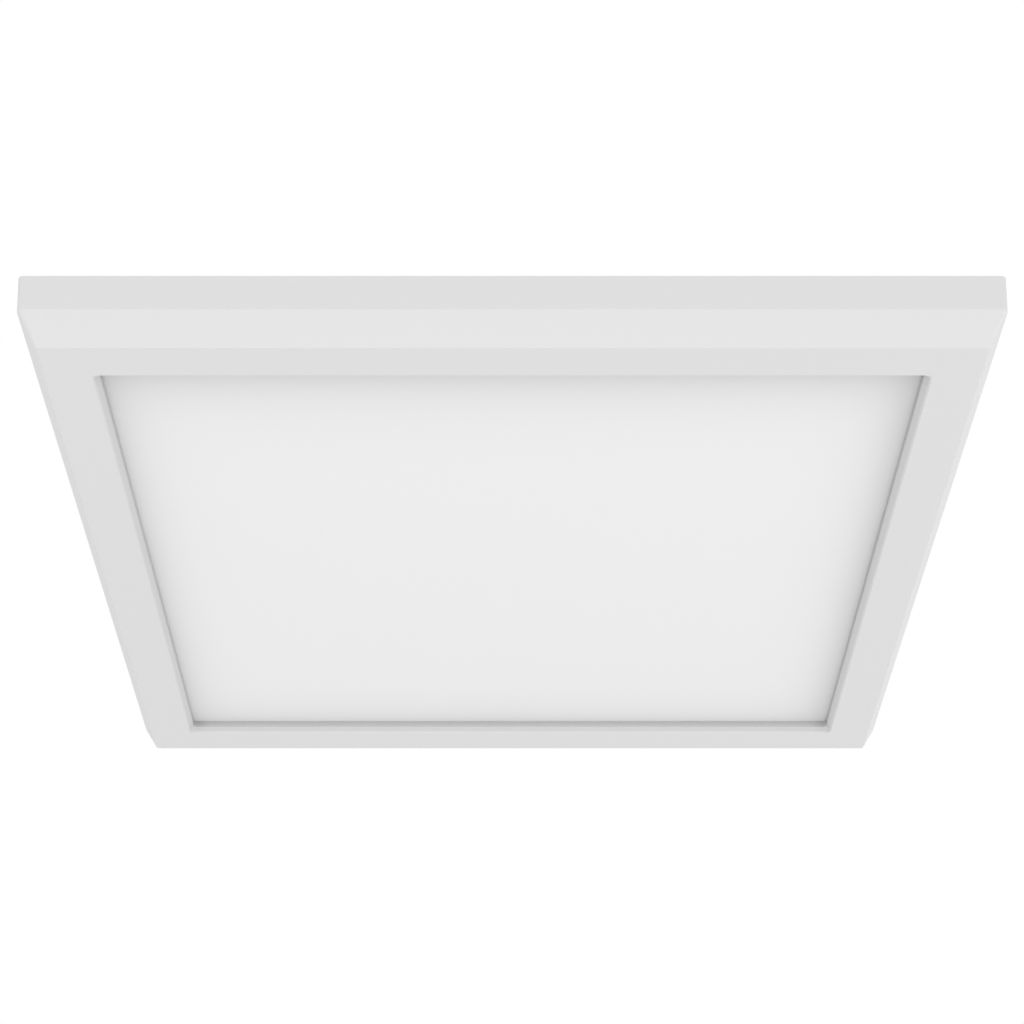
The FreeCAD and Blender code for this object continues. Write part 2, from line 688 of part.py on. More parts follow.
def mounting_plate():
    """The steel plate on the ceiling box, with two sprung-clip flanges and two stiffening ones."""
    half_x = plate_half_x - FLANGE_RELIEF
    half_y = plate_half_y - FLANGE_RELIEF
    plate = slab(half_x, half_y, PLATE_CORNER_RADIUS, -PLATE_THICKNESS, 0.0)
    window_top = window_sill + CATCH_WINDOW_HEIGHT
    half_window = CATCH_WINDOW_LENGTH / 2
    side_tab = bent_tab(plate_half_x, SIDE_FLANGE_DEPTH, SIDE_FLANGE_LENGTH)
    window = box(half_x, plate_half_x, -half_window, half_window, window_sill, window_top)
    side_tab = side_tab.cut(window)
    end_tab = bent_tab(plate_half_y, END_FLANGE_DEPTH, END_FLANGE_LENGTH)
    tabs = []
    for tab, turn in ((side_tab, 0), (end_tab, 90), (side_tab, 180), (end_tab, 270)):
        turned = tab.copy()
        turned.rotate(Vector(0, 0, 0), Vector(0, 0, 1), turn)
        tabs.append(turned)
    cuts = [disc(0.0, 0.0, -PLATE_THICKNESS, 0.0, WIRE_HOLE_RADIUS)]
    for side in (1, -1):
        middle = side * BOX_SCREW_SPACING / 2
        cuts.append(slot(middle, 0.0, BOX_SLOT_LENGTH, BOX_SLOT_WIDTH, -PLATE_THICKNESS, 0.0))
    hole_x = plate_half_x - PLATE_HOLE_INSET
    hole_y = plate_half_y - PLATE_HOLE_INSET
    for sign_x, sign_y in corner_signs:
        cuts.append(disc(sign_x * hole_x, sign_y * hole_y, -PLATE_THICKNESS, 0.0, PLATE_HOLE_RADIUS))
    thread = GROUND_SCREW_RADIUS + THREAD_CLEARANCE
    cuts.append(disc(GROUND_SCREW_X, GROUND_SCREW_Y, -PLATE_THICKNESS, 0.0, thread))
    return plate.fuse(tabs).cut(cuts).removeSplitter()


def ground_washer():
    """The cupped washer under the earth screw's head."""
    seat = -PLATE_THICKNESS
    foot = seat - GROUND_WASHER_THICKNESS
    washer = disc(GROUND_SCREW_X, GROUND_SCREW_Y, foot, seat, GROUND_WASHER_RADIUS)
    washer = washer.makeChamfer(GROUND_WASHER_THICKNESS / 2, edges_at(washer, foot))
    bore_radius = GROUND_SCREW_RADIUS + THREAD_CLEARANCE
    return washer.cut(disc(GROUND_SCREW_X, GROUND_SCREW_Y, foot, seat, bore_radius))


def ground_screw():
    """The green earth screw, head down, with a slot across its hexagon."""
    seat = -PLATE_THICKNESS - GROUND_WASHER_THICKNESS
    foot = seat - GROUND_HEAD_HEIGHT
    corners = []
    for index in range(7):
        angle = math.radians(60 * index)
        x = GROUND_SCREW_X + GROUND_HEAD_RADIUS * math.cos(angle)
        y = GROUND_SCREW_Y + GROUND_HEAD_RADIUS * math.sin(angle)
        corners.append(Vector(x, y, foot))
    head = Part.Face(Part.makePolygon(corners)).extrude(Vector(0, 0, GROUND_HEAD_HEIGHT))
    shank = disc(GROUND_SCREW_X, GROUND_SCREW_Y, seat, 0.0, GROUND_SCREW_RADIUS)
    half_slot = GROUND_SLOT_WIDTH / 2
    bit_slot = box(
        GROUND_SCREW_X - GROUND_HEAD_RADIUS,
        GROUND_SCREW_X + GROUND_HEAD_RADIUS,
        GROUND_SCREW_Y - half_slot,
        GROUND_SCREW_Y + half_slot,
        foot,
        foot + GROUND_SLOT_DEPTH,
    )
    return head.fuse(shank).cut(bit_slot).removeSplitter()


def right_spring_clip():
    """A leaf that rises from the pan, noses into the plate's flange and flares out at its tip."""
    half = CLIP_THICKNESS / 2
    foot_x = plate_half_x + CLIP_TAB_START
    rest_z = pan_top + half
    nose_z = window_sill + CATCH_WINDOW_HEIGHT / 2
    nose_x = plate_half_x - CLIP_CATCH + half - CLIP_NOSE_BEND / 2
    points = [
        Vector(foot_x + CLIP_TAB_LENGTH, 0, rest_z),
        Vector(foot_x, 0, rest_z),
        Vector(nose_x, 0, nose_z),
        Vector(plate_half_x + CLIP_FLARE, 0, -PLATE_THICKNESS - half),
    ]
    path = rounded_path(points, (CLIP_FOOT_BEND, CLIP_NOSE_BEND))
    start = points[0]
    section = [
        start + Vector(0, -CLIP_WIDTH / 2, -half),
        start + Vector(0, CLIP_WIDTH / 2, -half),
        start + Vector(0, CLIP_WIDTH / 2, half),
        start + Vector(0, -CLIP_WIDTH / 2, half),
    ]
    leaf = swept(path, Part.makePolygon(section + section[:1]))
    holes = []
    hole_radius = RIVET_RADIUS + THREAD_CLEARANCE
    for x, y in rivet_places():
        if x > 0:
            holes.append(disc(x, y, pan_top, pan_top + CLIP_THICKNESS, hole_radius))
    return leaf.cut(holes)


def clip_rivets():
    """The rivets through the clips and the pan."""
    rivets = []
    seat = pan_top + CLIP_THICKNESS
    for x, y in rivet_places():
        head = disc(x, y, seat, seat + RIVET_HEAD_HEIGHT, RIVET_HEAD_RADIUS)
        head = head.makeFillet(RIVET_HEAD_ROUND, edges_at(head, seat + RIVET_HEAD_HEIGHT))
        shank = disc(x, y, pan_under, seat, RIVET_RADIUS)
        tail = disc(x, y, pan_under - RIVET_TAIL_HEIGHT, pan_under, RIVET_TAIL_RADIUS)
        rivets.append(head.fuse([shank, tail]).removeSplitter())
    return rivets


def driver_case():
    """The driver's tray, with a screw column in each corner and the openings for wires and tails."""
    half_y = DRIVER_WIDTH / 2
    case = slab(driver_half, half_y, CASE_CORNER_RADIUS, pan_top, case_top, y=driver_middle)
    inner_x, inner_y = driver_half - CASE_WALL, half_y - CASE_WALL
    inner_radius = CASE_CORNER_RADIUS - CASE_WALL
    hollow = slab(inner_x, inner_y, inner_radius, case_floor_top, case_top, y=driver_middle)
    pillars = [disc(x, y, case_floor_top, case_top, COLUMN_RADIUS) for x, y in case_screw_places()]
    pad_x = board_half_x - STANDOFF_INSET
    pad_y = half_y - BOARD_SIDE_GAP - STANDOFF_INSET
    for sign_x, sign_y in corner_signs:
        x, y = sign_x * pad_x, driver_middle + sign_y * pad_y
        pillars.append(disc(x, y, case_floor_top, board_under, STANDOFF_RADIUS))
    cuts = []
    for x, y in case_screw_places():
        cuts.append(disc(x, y, pan_top, case_top, CASE_SCREW_RADIUS + HOLE_CLEARANCE))
    half_gap = LEAD_SPACING / 2 + LEAD_RADIUS + LEAD_HOLE_CLEARANCE
    lead_low = board_top - LEAD_HOLE_CLEARANCE
    lead_high = board_top + 2 * LEAD_RADIUS + LEAD_HOLE_CLEARANCE
    cuts.append(box(-driver_half, driver_half, lead_y - half_gap, lead_y + half_gap, lead_low, lead_high))
    for x in pole_places()[:-1]:
        half_tail = TAIL_WIDTH / 2 + CONTACT_CLEARANCE
        tail_top = board_top + TAIL_THICKNESS + CONTACT_CLEARANCE
        wall_end = driver_front + CASE_WALL
        cuts.append(box(x - half_tail, x + half_tail, driver_front, wall_end, board_top, tail_top))
    return case.cut(hollow).fuse(pillars).cut(cuts).removeSplitter()


def driver_cover():
    """The driver's lid, with a lip inside the case and a slot over the colour switch."""
    half_y = DRIVER_WIDTH / 2
    lid = slab(driver_half, half_y, CASE_CORNER_RADIUS, case_top, cover_top, y=driver_middle)
    lip_inset = CASE_WALL + COVER_LIP_CLEARANCE
    lip_x, lip_y = driver_half - lip_inset, half_y - lip_inset
    lip_low = case_top - COVER_LIP_DEPTH
    lip = slab(lip_x, lip_y, COVER_LIP_RADIUS, lip_low, case_top, y=driver_middle)
    hollow_x, hollow_y = lip_x - COVER_LIP_WALL, lip_y - COVER_LIP_WALL
    lip = lip.cut(slab(hollow_x, hollow_y, COVER_LIP_INNER_RADIUS, lip_low, case_top, y=driver_middle))
    reach = column_inset + COLUMN_RADIUS + COVER_LIP_CLEARANCE
    corner_cuts = []
    for x, y in case_screw_places():
        corner_cuts.append(box(x - reach, x + reach, y - reach, y + reach, lip_low, case_top))
    lip = lip.cut(corner_cuts)
    cuts = []
    for x, y in case_screw_places():
        cuts.append(disc(x, y, case_top, cover_top, CASE_SCREW_RADIUS + HOLE_CLEARANCE))
        cuts.append(countersink(x, y, HOLE_CLEARANCE))
    half_slot = SWITCH_TRAVEL + SLIDER_LENGTH / 2 + 2 * SLIDER_CLEARANCE
    half_width = SLIDER_WIDTH / 2 + 2 * SLIDER_CLEARANCE
    cuts.append(slot(SWITCH_X, switch_y, 2 * half_slot, 2 * half_width, case_top, cover_top))
    return lid.fuse(lip).cut(cuts).removeSplitter()


def countersink(x, y, clearance):
    """The cone of a flat screw head in the cover, wider all round by the clearance."""
    narrow = CASE_SCREW_RADIUS + clearance
    wide = CASE_SCREW_HEAD_RADIUS + clearance
    return Part.makeCone(narrow, wide, COVER_THICKNESS, Vector(x, y, case_top))


def driver_case_screws():
    """The long screws through the cover and the case into the pan."""
    screws = []
    foot = pan_under - CASE_SCREW_REACH
    for x, y in case_screw_places():
        shank = disc(x, y, foot, case_top, CASE_SCREW_RADIUS)
        head = countersink(x, y, 0.0)
        recess = cross_recess(x, y, cover_top, CASE_SCREW_HEAD_RADIUS, COVER_THICKNESS / 2)
        screws.append(shank.fuse(head).cut(recess).removeSplitter())
    return screws


def driver_board():
    """The driver's circuit board, on the case's pads."""
    half_y = DRIVER_WIDTH / 2 - BOARD_SIDE_GAP
    low_y, high_y = driver_middle - half_y, driver_middle + half_y
    return box(-board_half_x, board_half_x, low_y, high_y, board_under, board_top)


def on_board(x, y, length, width, height):
    """A block that stands on the driver board, by its middle."""
    half_x, half_y = length / 2, width / 2
    return box(x - half_x, x + half_x, y - half_y, y + half_y, board_top, board_top + height)


def driver_transformer():
    """A flat transformer: a core open at both ends, round a winding."""
    x, y = TRANSFORMER_X, driver_middle
    core = on_board(x, y, TRANSFORMER_LENGTH, TRANSFORMER_WIDTH, COMPONENT_HEIGHT)
    inner_width = TRANSFORMER_WIDTH - 2 * TRANSFORMER_YOKE
    inner_height = COMPONENT_HEIGHT - 2 * TRANSFORMER_PLATE
    tunnel = on_board(x, y, TRANSFORMER_LENGTH, inner_width, inner_height)
    tunnel.translate(Vector(0, 0, TRANSFORMER_PLATE))
    half_x = TRANSFORMER_LENGTH / 2 - TRANSFORMER_PLATE
    low = board_top + TRANSFORMER_PLATE
    winding = slab(half_x, inner_width / 2, WINDING_CORNER_RADIUS, low, low + inner_height, x, y)
    return core.cut(tunnel).fuse(winding).removeSplitter()


def driver_capacitors():
    """Three round capacitors lying side by side."""
    radius = COMPONENT_HEIGHT / 2
    cans = []
    for index in (-1, 0, 1):
        foot = Vector(CAPACITOR_X, driver_middle + index * CAPACITOR_PITCH, board_top + radius)
        can = Part.makeCylinder(radius, CAPACITOR_LENGTH, foot, Vector(1, 0, 0))
        rims = [edge for edge in can.Edges if len(edge.Vertexes) == 1]
        cans.append(can.makeFillet(CAPACITOR_ROUND, rims))
    return cans


def driver_choke():
    """A wound ring choke, lying flat."""
    x, y = CHOKE_X, driver_middle
    top = board_top + CHOKE_HEIGHT
    ring = disc(x, y, board_top, top, CHOKE_RADIUS)
    ring = ring.cut(disc(x, y, board_top, top, CHOKE_BORE_RADIUS))
    return ring.makeFillet(CHOKE_ROUND, edges_at(ring, top))


def driver_chips():
    """The rectifier, the controller, the power switch and two diodes."""
    return [on_board(x, driver_middle + offset, *size) for x, offset, *size in CHIPS]


def pole_places():
    """The middle of each terminal pole along X: line, neutral and earth."""
    return [(index - (TERMINAL_POLES - 1) / 2) * TERMINAL_PITCH for index in range(TERMINAL_POLES)]


def button_box(x, clearance, low, high):
    """A release button's block, or its pocket when there is a clearance."""
    half_x = BUTTON_WIDTH / 2 + clearance
    front = terminal_front + BUTTON_SETBACK
    return box(x - half_x, x + half_x, front - clearance, front + BUTTON_LENGTH + clearance, low, high)


def terminal_block():
    """The push-wire block that takes the supply, clipped into the pan."""
    block = box(-terminal_half, terminal_half, terminal_front, terminal_rear, pan_top, terminal_top)
    block = block.makeChamfer(TERMINAL_EDGE, edges_at(block, terminal_top))
    feet = []
    half_x, half_y = TERMINAL_FOOT_LENGTH / 2, TERMINAL_FOOT_WIDTH / 2
    hook_low = pan_under - TERMINAL_FOOT_HOOK
    for x, y in terminal_foot_places():
        hook = y - half_y - TERMINAL_FOOT_HOOK
        feet.append(box(x - half_x, x + half_x, y - half_y, y + half_y, pan_under, pan_top))
        feet.append(box(x - half_x, x + half_x, hook, y + half_y, hook_low, pan_under))
    cuts = []
    button_foot = terminal_top + BUTTON_PROUD - BUTTON_HEIGHT
    pocket_floor = button_foot - BUTTON_TRAVEL - BUTTON_CLEARANCE
    half_contact = CONTACT_SIZE / 2 + CONTACT_CLEARANCE
    cavity_front = terminal_rear - CONTACT_LENGTH - CONTACT_CLEARANCE
    low, high = port_z - half_contact, port_z + half_contact
    inward = Vector(0, 1, 0)
    for x in pole_places():
        cuts.append(button_box(x, BUTTON_CLEARANCE, pocket_floor, terminal_top))
        cuts.append(box(x - half_contact, x + half_contact, cavity_front, terminal_rear, low, high))
        port = Vector(x, terminal_front, port_z)
        cuts.append(Part.makeCylinder(PORT_RADIUS, cavity_front - terminal_front, port, inward))
        cuts.append(Part.makeCone(PORT_MOUTH_RADIUS, PORT_RADIUS, PORT_MOUTH_DEPTH, port, inward))
        cuts.append(disc(x, terminal_rear - PROBE_HOLE_SETBACK, high, terminal_top, PROBE_HOLE_RADIUS))
    groove_low = terminal_top - POLE_GROOVE_DEPTH
    for x in pole_places()[:-1]:
        side = x + (TERMINAL_PITCH - POLE_GROOVE_WIDTH) / 2
        groove_ends = (terminal_front, terminal_rear, groove_low, terminal_top)
        cuts.append(box(side, side + POLE_GROOVE_WIDTH, *groove_ends))
    earth = pole_places()[-1]
    half_tail = TAIL_WIDTH / 2 + CONTACT_CLEARANCE
    tail_start = terminal_rear - CONTACT_LENGTH - CONTACT_CLEARANCE
    tail_end = terminal_rear - CONTACT_LENGTH + TAIL_THICKNESS + CONTACT_CLEARANCE
    cuts.append(box(earth - half_tail, earth + half_tail, tail_start, tail_end, pan_top, port_z))
    return block.fuse(feet).cut(cuts).removeSplitter()


def terminal_contacts():
    """The three wire clamps. Two tails reach the board, and the earth tail stands on the pan."""
    contacts = []
    half = CONTACT_SIZE / 2
    front = terminal_rear - CONTACT_LENGTH
    # Each tail's ends along Y, then its levels: the last pole is earth.
    to_board = (terminal_rear, driver_front + TAIL_REACH, board_top, board_top + TAIL_THICKNESS)
    to_pan = (front, front + TAIL_THICKNESS, pan_top, port_z - half)
    tails = [to_board] * (TERMINAL_POLES - 1) + [to_pan]
    for x, tail_ends in zip(pole_places(), tails):
        body = box(x - half, x + half, front, terminal_rear, port_z - half, port_z + half)
        mouth = Vector(x, front, port_z)
        bore = Part.makeCylinder(CONTACT_BORE_RADIUS, CONTACT_BORE_DEPTH, mouth, Vector(0, 1, 0))
        tail = box(x - TAIL_WIDTH / 2, x + TAIL_WIDTH / 2, *tail_ends)
        contacts.append(body.cut(bore).fuse(tail).removeSplitter())
    return contacts


def release_button(x):
    """A button that opens the clamp beside it when it is pressed."""
    top = terminal_top + BUTTON_PROUD
    button = button_box(x, 0.0, top - BUTTON_HEIGHT, top)
    return button.makeFillet(BUTTON_ROUND, edges_at(button, top))


def color_switch_body():
    """The switch on the driver board, with a channel for its slider."""
    body = on_board(SWITCH_X, switch_y, SWITCH_LENGTH, SWITCH_WIDTH, SWITCH_HEIGHT)
    top = board_top + SWITCH_HEIGHT
    half_x = SWITCH_TRAVEL + SLIDER_LENGTH / 2 + SLIDER_CLEARANCE
    half_y = SLIDER_WIDTH / 2 + SLIDER_CLEARANCE
    low = top - SLIDER_DEPTH - SLIDER_CLEARANCE
    low_y, high_y = switch_y - half_y, switch_y + half_y
    return body.cut(box(SWITCH_X - half_x, SWITCH_X + half_x, low_y, high_y, low, top))


def color_switch_slider():
    """The slider that picks one of three whites, with a groove for a fingernail."""
    low = board_top + SWITCH_HEIGHT - SLIDER_DEPTH
    high = cover_top - SLIDER_TOP_GAP
    low_y, high_y = switch_y - SLIDER_WIDTH / 2, switch_y + SLIDER_WIDTH / 2
    half, half_groove = SLIDER_LENGTH / 2, SLIDER_GROOVE_WIDTH / 2
    slider = box(SWITCH_X - half, SWITCH_X + half, low_y, high_y, low, high)
    groove_low = high - SLIDER_GROOVE_DEPTH
    return slider.cut(box(SWITCH_X - half_groove, SWITCH_X + half_groove, low_y, high_y, groove_low, high))


def right_lead(side_offset, end_z):
    """One lead from the driver board to the right light strip, offset beside its pair's middle line."""
    y = lead_y + side_offset
    x = grommet_x - side_offset
    exit_x = driver_half + LEAD_EXIT
    board_z = board_top + LEAD_RADIUS
    pan_z = pan_top + LEAD_RADIUS
    points = [
        Vector(driver_half - LEAD_START, y, board_z),
        Vector(exit_x, y, board_z),
        Vector(exit_x + LEAD_DESCENT, y, pan_z),
        Vector(x, y, pan_z),
        Vector(x, lead_end_y, pan_z + GROMMET_FLANGE_THICKNESS + LEAD_GROMMET_RISE),
        Vector(x, lead_end_y, end_z),
        Vector(led_board_back, lead_end_y, end_z),
    ]
    radii = []
    for index in range(1, len(points) - 1):
        radii.append(bend_radius(points[index - 1], points[index], points[index + 1]))
    path = rounded_path(points, radii)
    tube = swept(path, Part.Wire(Part.makeCircle(LEAD_RADIUS, points[0], Vector(1, 0, 0))))
    whole = path.Length * math.pi * LEAD_RADIUS ** 2
    print("lead length", round(path.Length, 1), "bend radii", [round(radius, 2) for radius in radii])
    print("tube's volume over its length times its section", round(tube.Volume / whole, 4))
    return tube


def output_leads(side_offset, end_z):
    """The same lead on both sides of the light."""
    lead = right_lead(side_offset, end_z)
    return [lead, mirrored(lead)]


def red_output_leads():
    """The leads to the upper ends of the light strips' connections."""
    return output_leads(LEAD_SPACING / 2, guide_middle + LEAD_TAIL_SPREAD / 2)


def black_output_leads():
    """The leads to the lower ones."""
    return output_leads(-LEAD_SPACING / 2, guide_middle - LEAD_TAIL_SPREAD / 2)


def lead_grommets():
    """The rubber rings that line the pan's lead holes."""
    rings = []
    for side in (1, -1):
        x = side * grommet_x
        low, high = pan_under - GROMMET_FLANGE_THICKNESS, pan_top + GROMMET_FLANGE_THICKNESS
        neck = disc(x, lead_end_y, pan_under, pan_top, GROMMET_NECK_RADIUS)
        lower = disc(x, lead_end_y, low, pan_under, GROMMET_FLANGE_RADIUS)
        upper = disc(x, lead_end_y, pan_top, high, GROMMET_FLANGE_RADIUS)
        bore = disc(x, lead_end_y, low, high, GROMMET_BORE_RADIUS)
        rings.append(neck.fuse([lower, upper]).cut(bore).removeSplitter())
    return rings


def lead_clips():
    """The saddles that hold the leads down on the pan."""
    top = pan_top + 2 * LEAD_RADIUS + LEAD_HOLE_CLEARANCE
    half_tunnel = LEAD_SPACING / 2 + LEAD_RADIUS + LEAD_HOLE_CLEARANCE
    half_arch = half_tunnel + LEAD_CLIP_WALL
    half_length, half_width = LEAD_CLIP_LENGTH / 2, LEAD_CLIP_WIDTH / 2
    middle = (driver_half + LEAD_EXIT + LEAD_DESCENT + grommet_x) / 2
    x0, x1 = middle - half_length, middle + half_length
    arch = box(x0, x1, lead_y - half_arch, lead_y + half_arch, pan_top, top + LEAD_CLIP_WALL)
    arch = arch.makeFillet(LEAD_CLIP_ROUND, edges_at(arch, top + LEAD_CLIP_WALL))
    foot_top = pan_top + LEAD_CLIP_WALL
    foot = slab(half_length, half_width, LEAD_CLIP_ROUND, pan_top, foot_top, middle, lead_y)
    tunnel = box(x0, x1, lead_y - half_tunnel, lead_y + half_tunnel, pan_top, top)
    clip = arch.fuse(foot).cut(tunnel).removeSplitter()
    return [clip, mirrored(clip)]


# Each function here gives the solid, or the solids, of the node that has its name.
PLAIN_NODES = (
    trim_frame,
    diffuser,
    light_guide,
    reflector_sheet,
    backing_foam,
    back_pan,
    rear_edge_spacer,
    front_edge_spacer,
    back_pan_screws,
    mounting_plate,
    ground_washer,
    ground_screw,
    clip_rivets,
    driver_case,
    driver_cover,
    driver_case_screws,
    driver_board,
    driver_transformer,
    driver_capacitors,
    driver_choke,
    driver_chips,
    terminal_block,
    terminal_contacts,
    color_switch_body,
    color_switch_slider,
    red_output_leads,
    black_output_leads,
    lead_grommets,
    lead_clips,
)

# These are made for the right side and mirrored for the left.
RIGHT_NODES = (right_led_rail, right_led_board, right_leds, right_spring_clip)


def solids_of(make):
    """A node's solids as a list, whether its function gives one or several."""
    made = make()
    return made if isinstance(made, list) else [made]


def write(node, solids):
    """Write one node to its own file."""
    for solid in solids:
        if not solid.isValid() or len(solid.Solids) != 1:
            raise ValueError(node + " is not one valid solid")
    whole = solids[0] if len(solids) == 1 else Part.makeCompound(solids)
    whole.exportStep("parts/" + node + ".step")


def main():
    """Build every node and write it."""
    os.makedirs("parts", exist_ok=True)
    for make in PLAIN_NODES:
        write(make.__name__, solids_of(make))
    for make in RIGHT_NODES:
        solids = solids_of(make)
        write(make.__name__, solids)
        write(make.__name__.replace("right", "left"), [mirrored(solid) for solid in solids])
    for name, x in zip(("line", "neutral", "earth"), pole_places()):
        write(name + "_release_button", [release_button(x)])


main()
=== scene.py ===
import math

import bmesh
import bpy
from mathutils import Matrix, Vector


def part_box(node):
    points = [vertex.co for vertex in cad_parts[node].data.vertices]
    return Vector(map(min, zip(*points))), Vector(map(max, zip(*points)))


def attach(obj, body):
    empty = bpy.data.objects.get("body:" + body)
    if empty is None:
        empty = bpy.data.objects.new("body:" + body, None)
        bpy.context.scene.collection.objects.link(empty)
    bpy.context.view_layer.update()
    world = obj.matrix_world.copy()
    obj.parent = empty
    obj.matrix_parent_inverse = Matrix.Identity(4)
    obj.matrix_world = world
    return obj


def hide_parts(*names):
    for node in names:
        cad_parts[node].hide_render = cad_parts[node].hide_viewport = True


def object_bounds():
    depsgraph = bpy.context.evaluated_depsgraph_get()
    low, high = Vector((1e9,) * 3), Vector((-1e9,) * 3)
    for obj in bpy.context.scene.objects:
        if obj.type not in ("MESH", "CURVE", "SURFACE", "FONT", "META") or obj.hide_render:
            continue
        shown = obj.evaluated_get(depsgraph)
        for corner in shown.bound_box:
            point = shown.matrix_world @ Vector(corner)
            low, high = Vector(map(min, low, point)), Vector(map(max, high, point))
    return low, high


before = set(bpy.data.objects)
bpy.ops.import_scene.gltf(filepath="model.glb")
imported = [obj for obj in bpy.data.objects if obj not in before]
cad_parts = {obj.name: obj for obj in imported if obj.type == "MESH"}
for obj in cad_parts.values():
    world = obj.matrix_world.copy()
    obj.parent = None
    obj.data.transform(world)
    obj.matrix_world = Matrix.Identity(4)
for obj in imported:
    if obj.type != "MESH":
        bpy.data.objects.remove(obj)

cad_low, cad_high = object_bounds()

bl_info = {
    "name": "Square Ceiling Light",
    "version": (1, 0, 0),
    "blender": (4, 5, 0),
    "location": "3D View > Sidebar > Ceiling Light",
    "description": "Finishes, small details and a studio stage for a square edge-lit ceiling light",
    "category": "Object",
}

MM = 0.001

LEDGE_COVER = 3.75 * MM  # how far the frame's ledge covers the opal sheet
BEVEL_WIDTH = 1.92 * MM  # of the opening's sloping edge
BEVEL_DROP = 1.86 * MM

# Places in metres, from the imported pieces.
window_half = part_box("diffuser")[1].x - LEDGE_COVER
opening_half = window_half + BEVEL_WIDTH
bevel_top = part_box("trim_frame")[0].z + BEVEL_DROP
cover_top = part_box("driver_cover")[1].z
board_low, board_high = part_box("driver_board")


def linear(code):
    """A colour written as sRGB hex, as the linear red, green and blue that shaders take."""
    channels = []
    for start in (1, 3, 5):
        value = int(code[start:start + 2], 16) / 255
        channels.append(value / 12.92 if value <= 0.04045 else ((value + 0.055) / 1.055) ** 2.4)
    return tuple(channels)


# ---- What a user may change ----


class CeilingLightFinishes(bpy.types.PropertyGroup):
    """Colours of the main finishes, and the opal sheet's painted shade near its edges."""

    frame_coat: bpy.props.FloatVectorProperty(
        name="Frame coat",
        description="White powder coat on the cast frame",
        subtype="COLOR",
        size=3,
        min=0.0,
        max=1.0,
        default=linear("#E6E6E6"),
    )
    lens_middle: bpy.props.FloatVectorProperty(
        name="Lens middle",
        description="Opal sheet where the guide and film behind it send light back",
        subtype="COLOR",
        size=3,
        min=0.0,
        max=1.0,
        default=linear("#F7F7F7"),
    )
    # Painted shade: the opal sheet's tone where its painted edge shade is deepest.
    lens_edge: bpy.props.FloatVectorProperty(
        name="Lens edge",
        description="Opal sheet where no light at all comes back through it",
        subtype="COLOR",
        size=3,
        min=0.0,
        max=1.0,
        default=linear("#B4B4B4"),
    )
    # How far in the opal sheet's painted shade reaches beside the LED strips.
    strip_side_fade: bpy.props.FloatProperty(
        name="Fade beside the strips",
        description="How far in from the left and right edges the opal sheet's dimming falls to a third",
        unit="LENGTH",
        min=0.001,
        max=0.1,
        default=7.0 * MM,
    )
    # How far in the opal sheet's painted shade reaches beside the front and rear edges.
    plain_side_fade: bpy.props.FloatProperty(
        name="Fade beside the plain edges",
        description="How far in from the front and rear edges the opal sheet's dimming falls to a third",
        unit="LENGTH",
        min=0.001,
        max=0.1,
        default=12.5 * MM,
    )
    zinc: bpy.props.FloatVectorProperty(
        name="Zinc coat",
        description="Galvanised sheet of the back pan and the mounting plate",
        subtype="COLOR",
        size=3,
        min=0.0,
        max=1.0,
        default=linear("#B9BDC0"),
    )
    driver_plastic: bpy.props.FloatVectorProperty(
        name="Driver plastic",
        description="Moulded case and cover of the driver",
        subtype="COLOR",
        size=3,
        min=0.0,
        max=1.0,
        default=linear("#E7E8E8"),
    )
    button_plastic: bpy.props.FloatVectorProperty(
        name="Button plastic",
        description="Release buttons of the supply terminal",
        subtype="COLOR",
        size=3,
        min=0.0,
        max=1.0,
        default=linear("#DE6A1C"),
    )


class CeilingLightDetails(bpy.types.PropertyGroup):
    """Sizes of the small pieces that are made here."""

    mark_radius: bpy.props.FloatProperty(
        name="Mark radius",
        description="Radius of a raised dot beside the colour switch",
        unit="LENGTH",
        min=0.0001,
        max=0.002,
        default=0.42 * MM,
    )
    mark_height: bpy.props.FloatProperty(
        name="Mark height",
        description="How far a dot stands up from the cover",
        unit="LENGTH",
        min=0.00005,
        max=0.001,
        default=0.25 * MM,
    )
    pole_mark: bpy.props.FloatProperty(
        name="Pole mark height",
        description="Height of the L, N and earth marks on the supply terminal",
        unit="LENGTH",
        min=0.0005,
        max=0.0016,
        default=1.3 * MM,
    )
    solder_radius: bpy.props.FloatProperty(
        name="Solder radius",
        description="Radius of a solder joint on the driver board",
        unit="LENGTH",
        min=0.0005,
        max=0.003,
        default=1.3 * MM,
    )
    window_length: bpy.props.FloatProperty(
        name="Phosphor length",
        description="Length of the yellow phosphor window in an LED chip",
        unit="LENGTH",
        min=0.0005,
        max=0.0035,
        default=2.4 * MM,
    )
    window_height: bpy.props.FloatProperty(
        name="Phosphor height",
        description="Height of the yellow phosphor window in an LED chip",
        unit="LENGTH",
        min=0.0005,
        max=0.0028,
        default=1.9 * MM,
    )
    choke_turns: bpy.props.IntProperty(
        name="Choke turns",
        description="Turns of enamelled wire round the choke's core",
        min=4,
        max=40,
        default=22,
    )


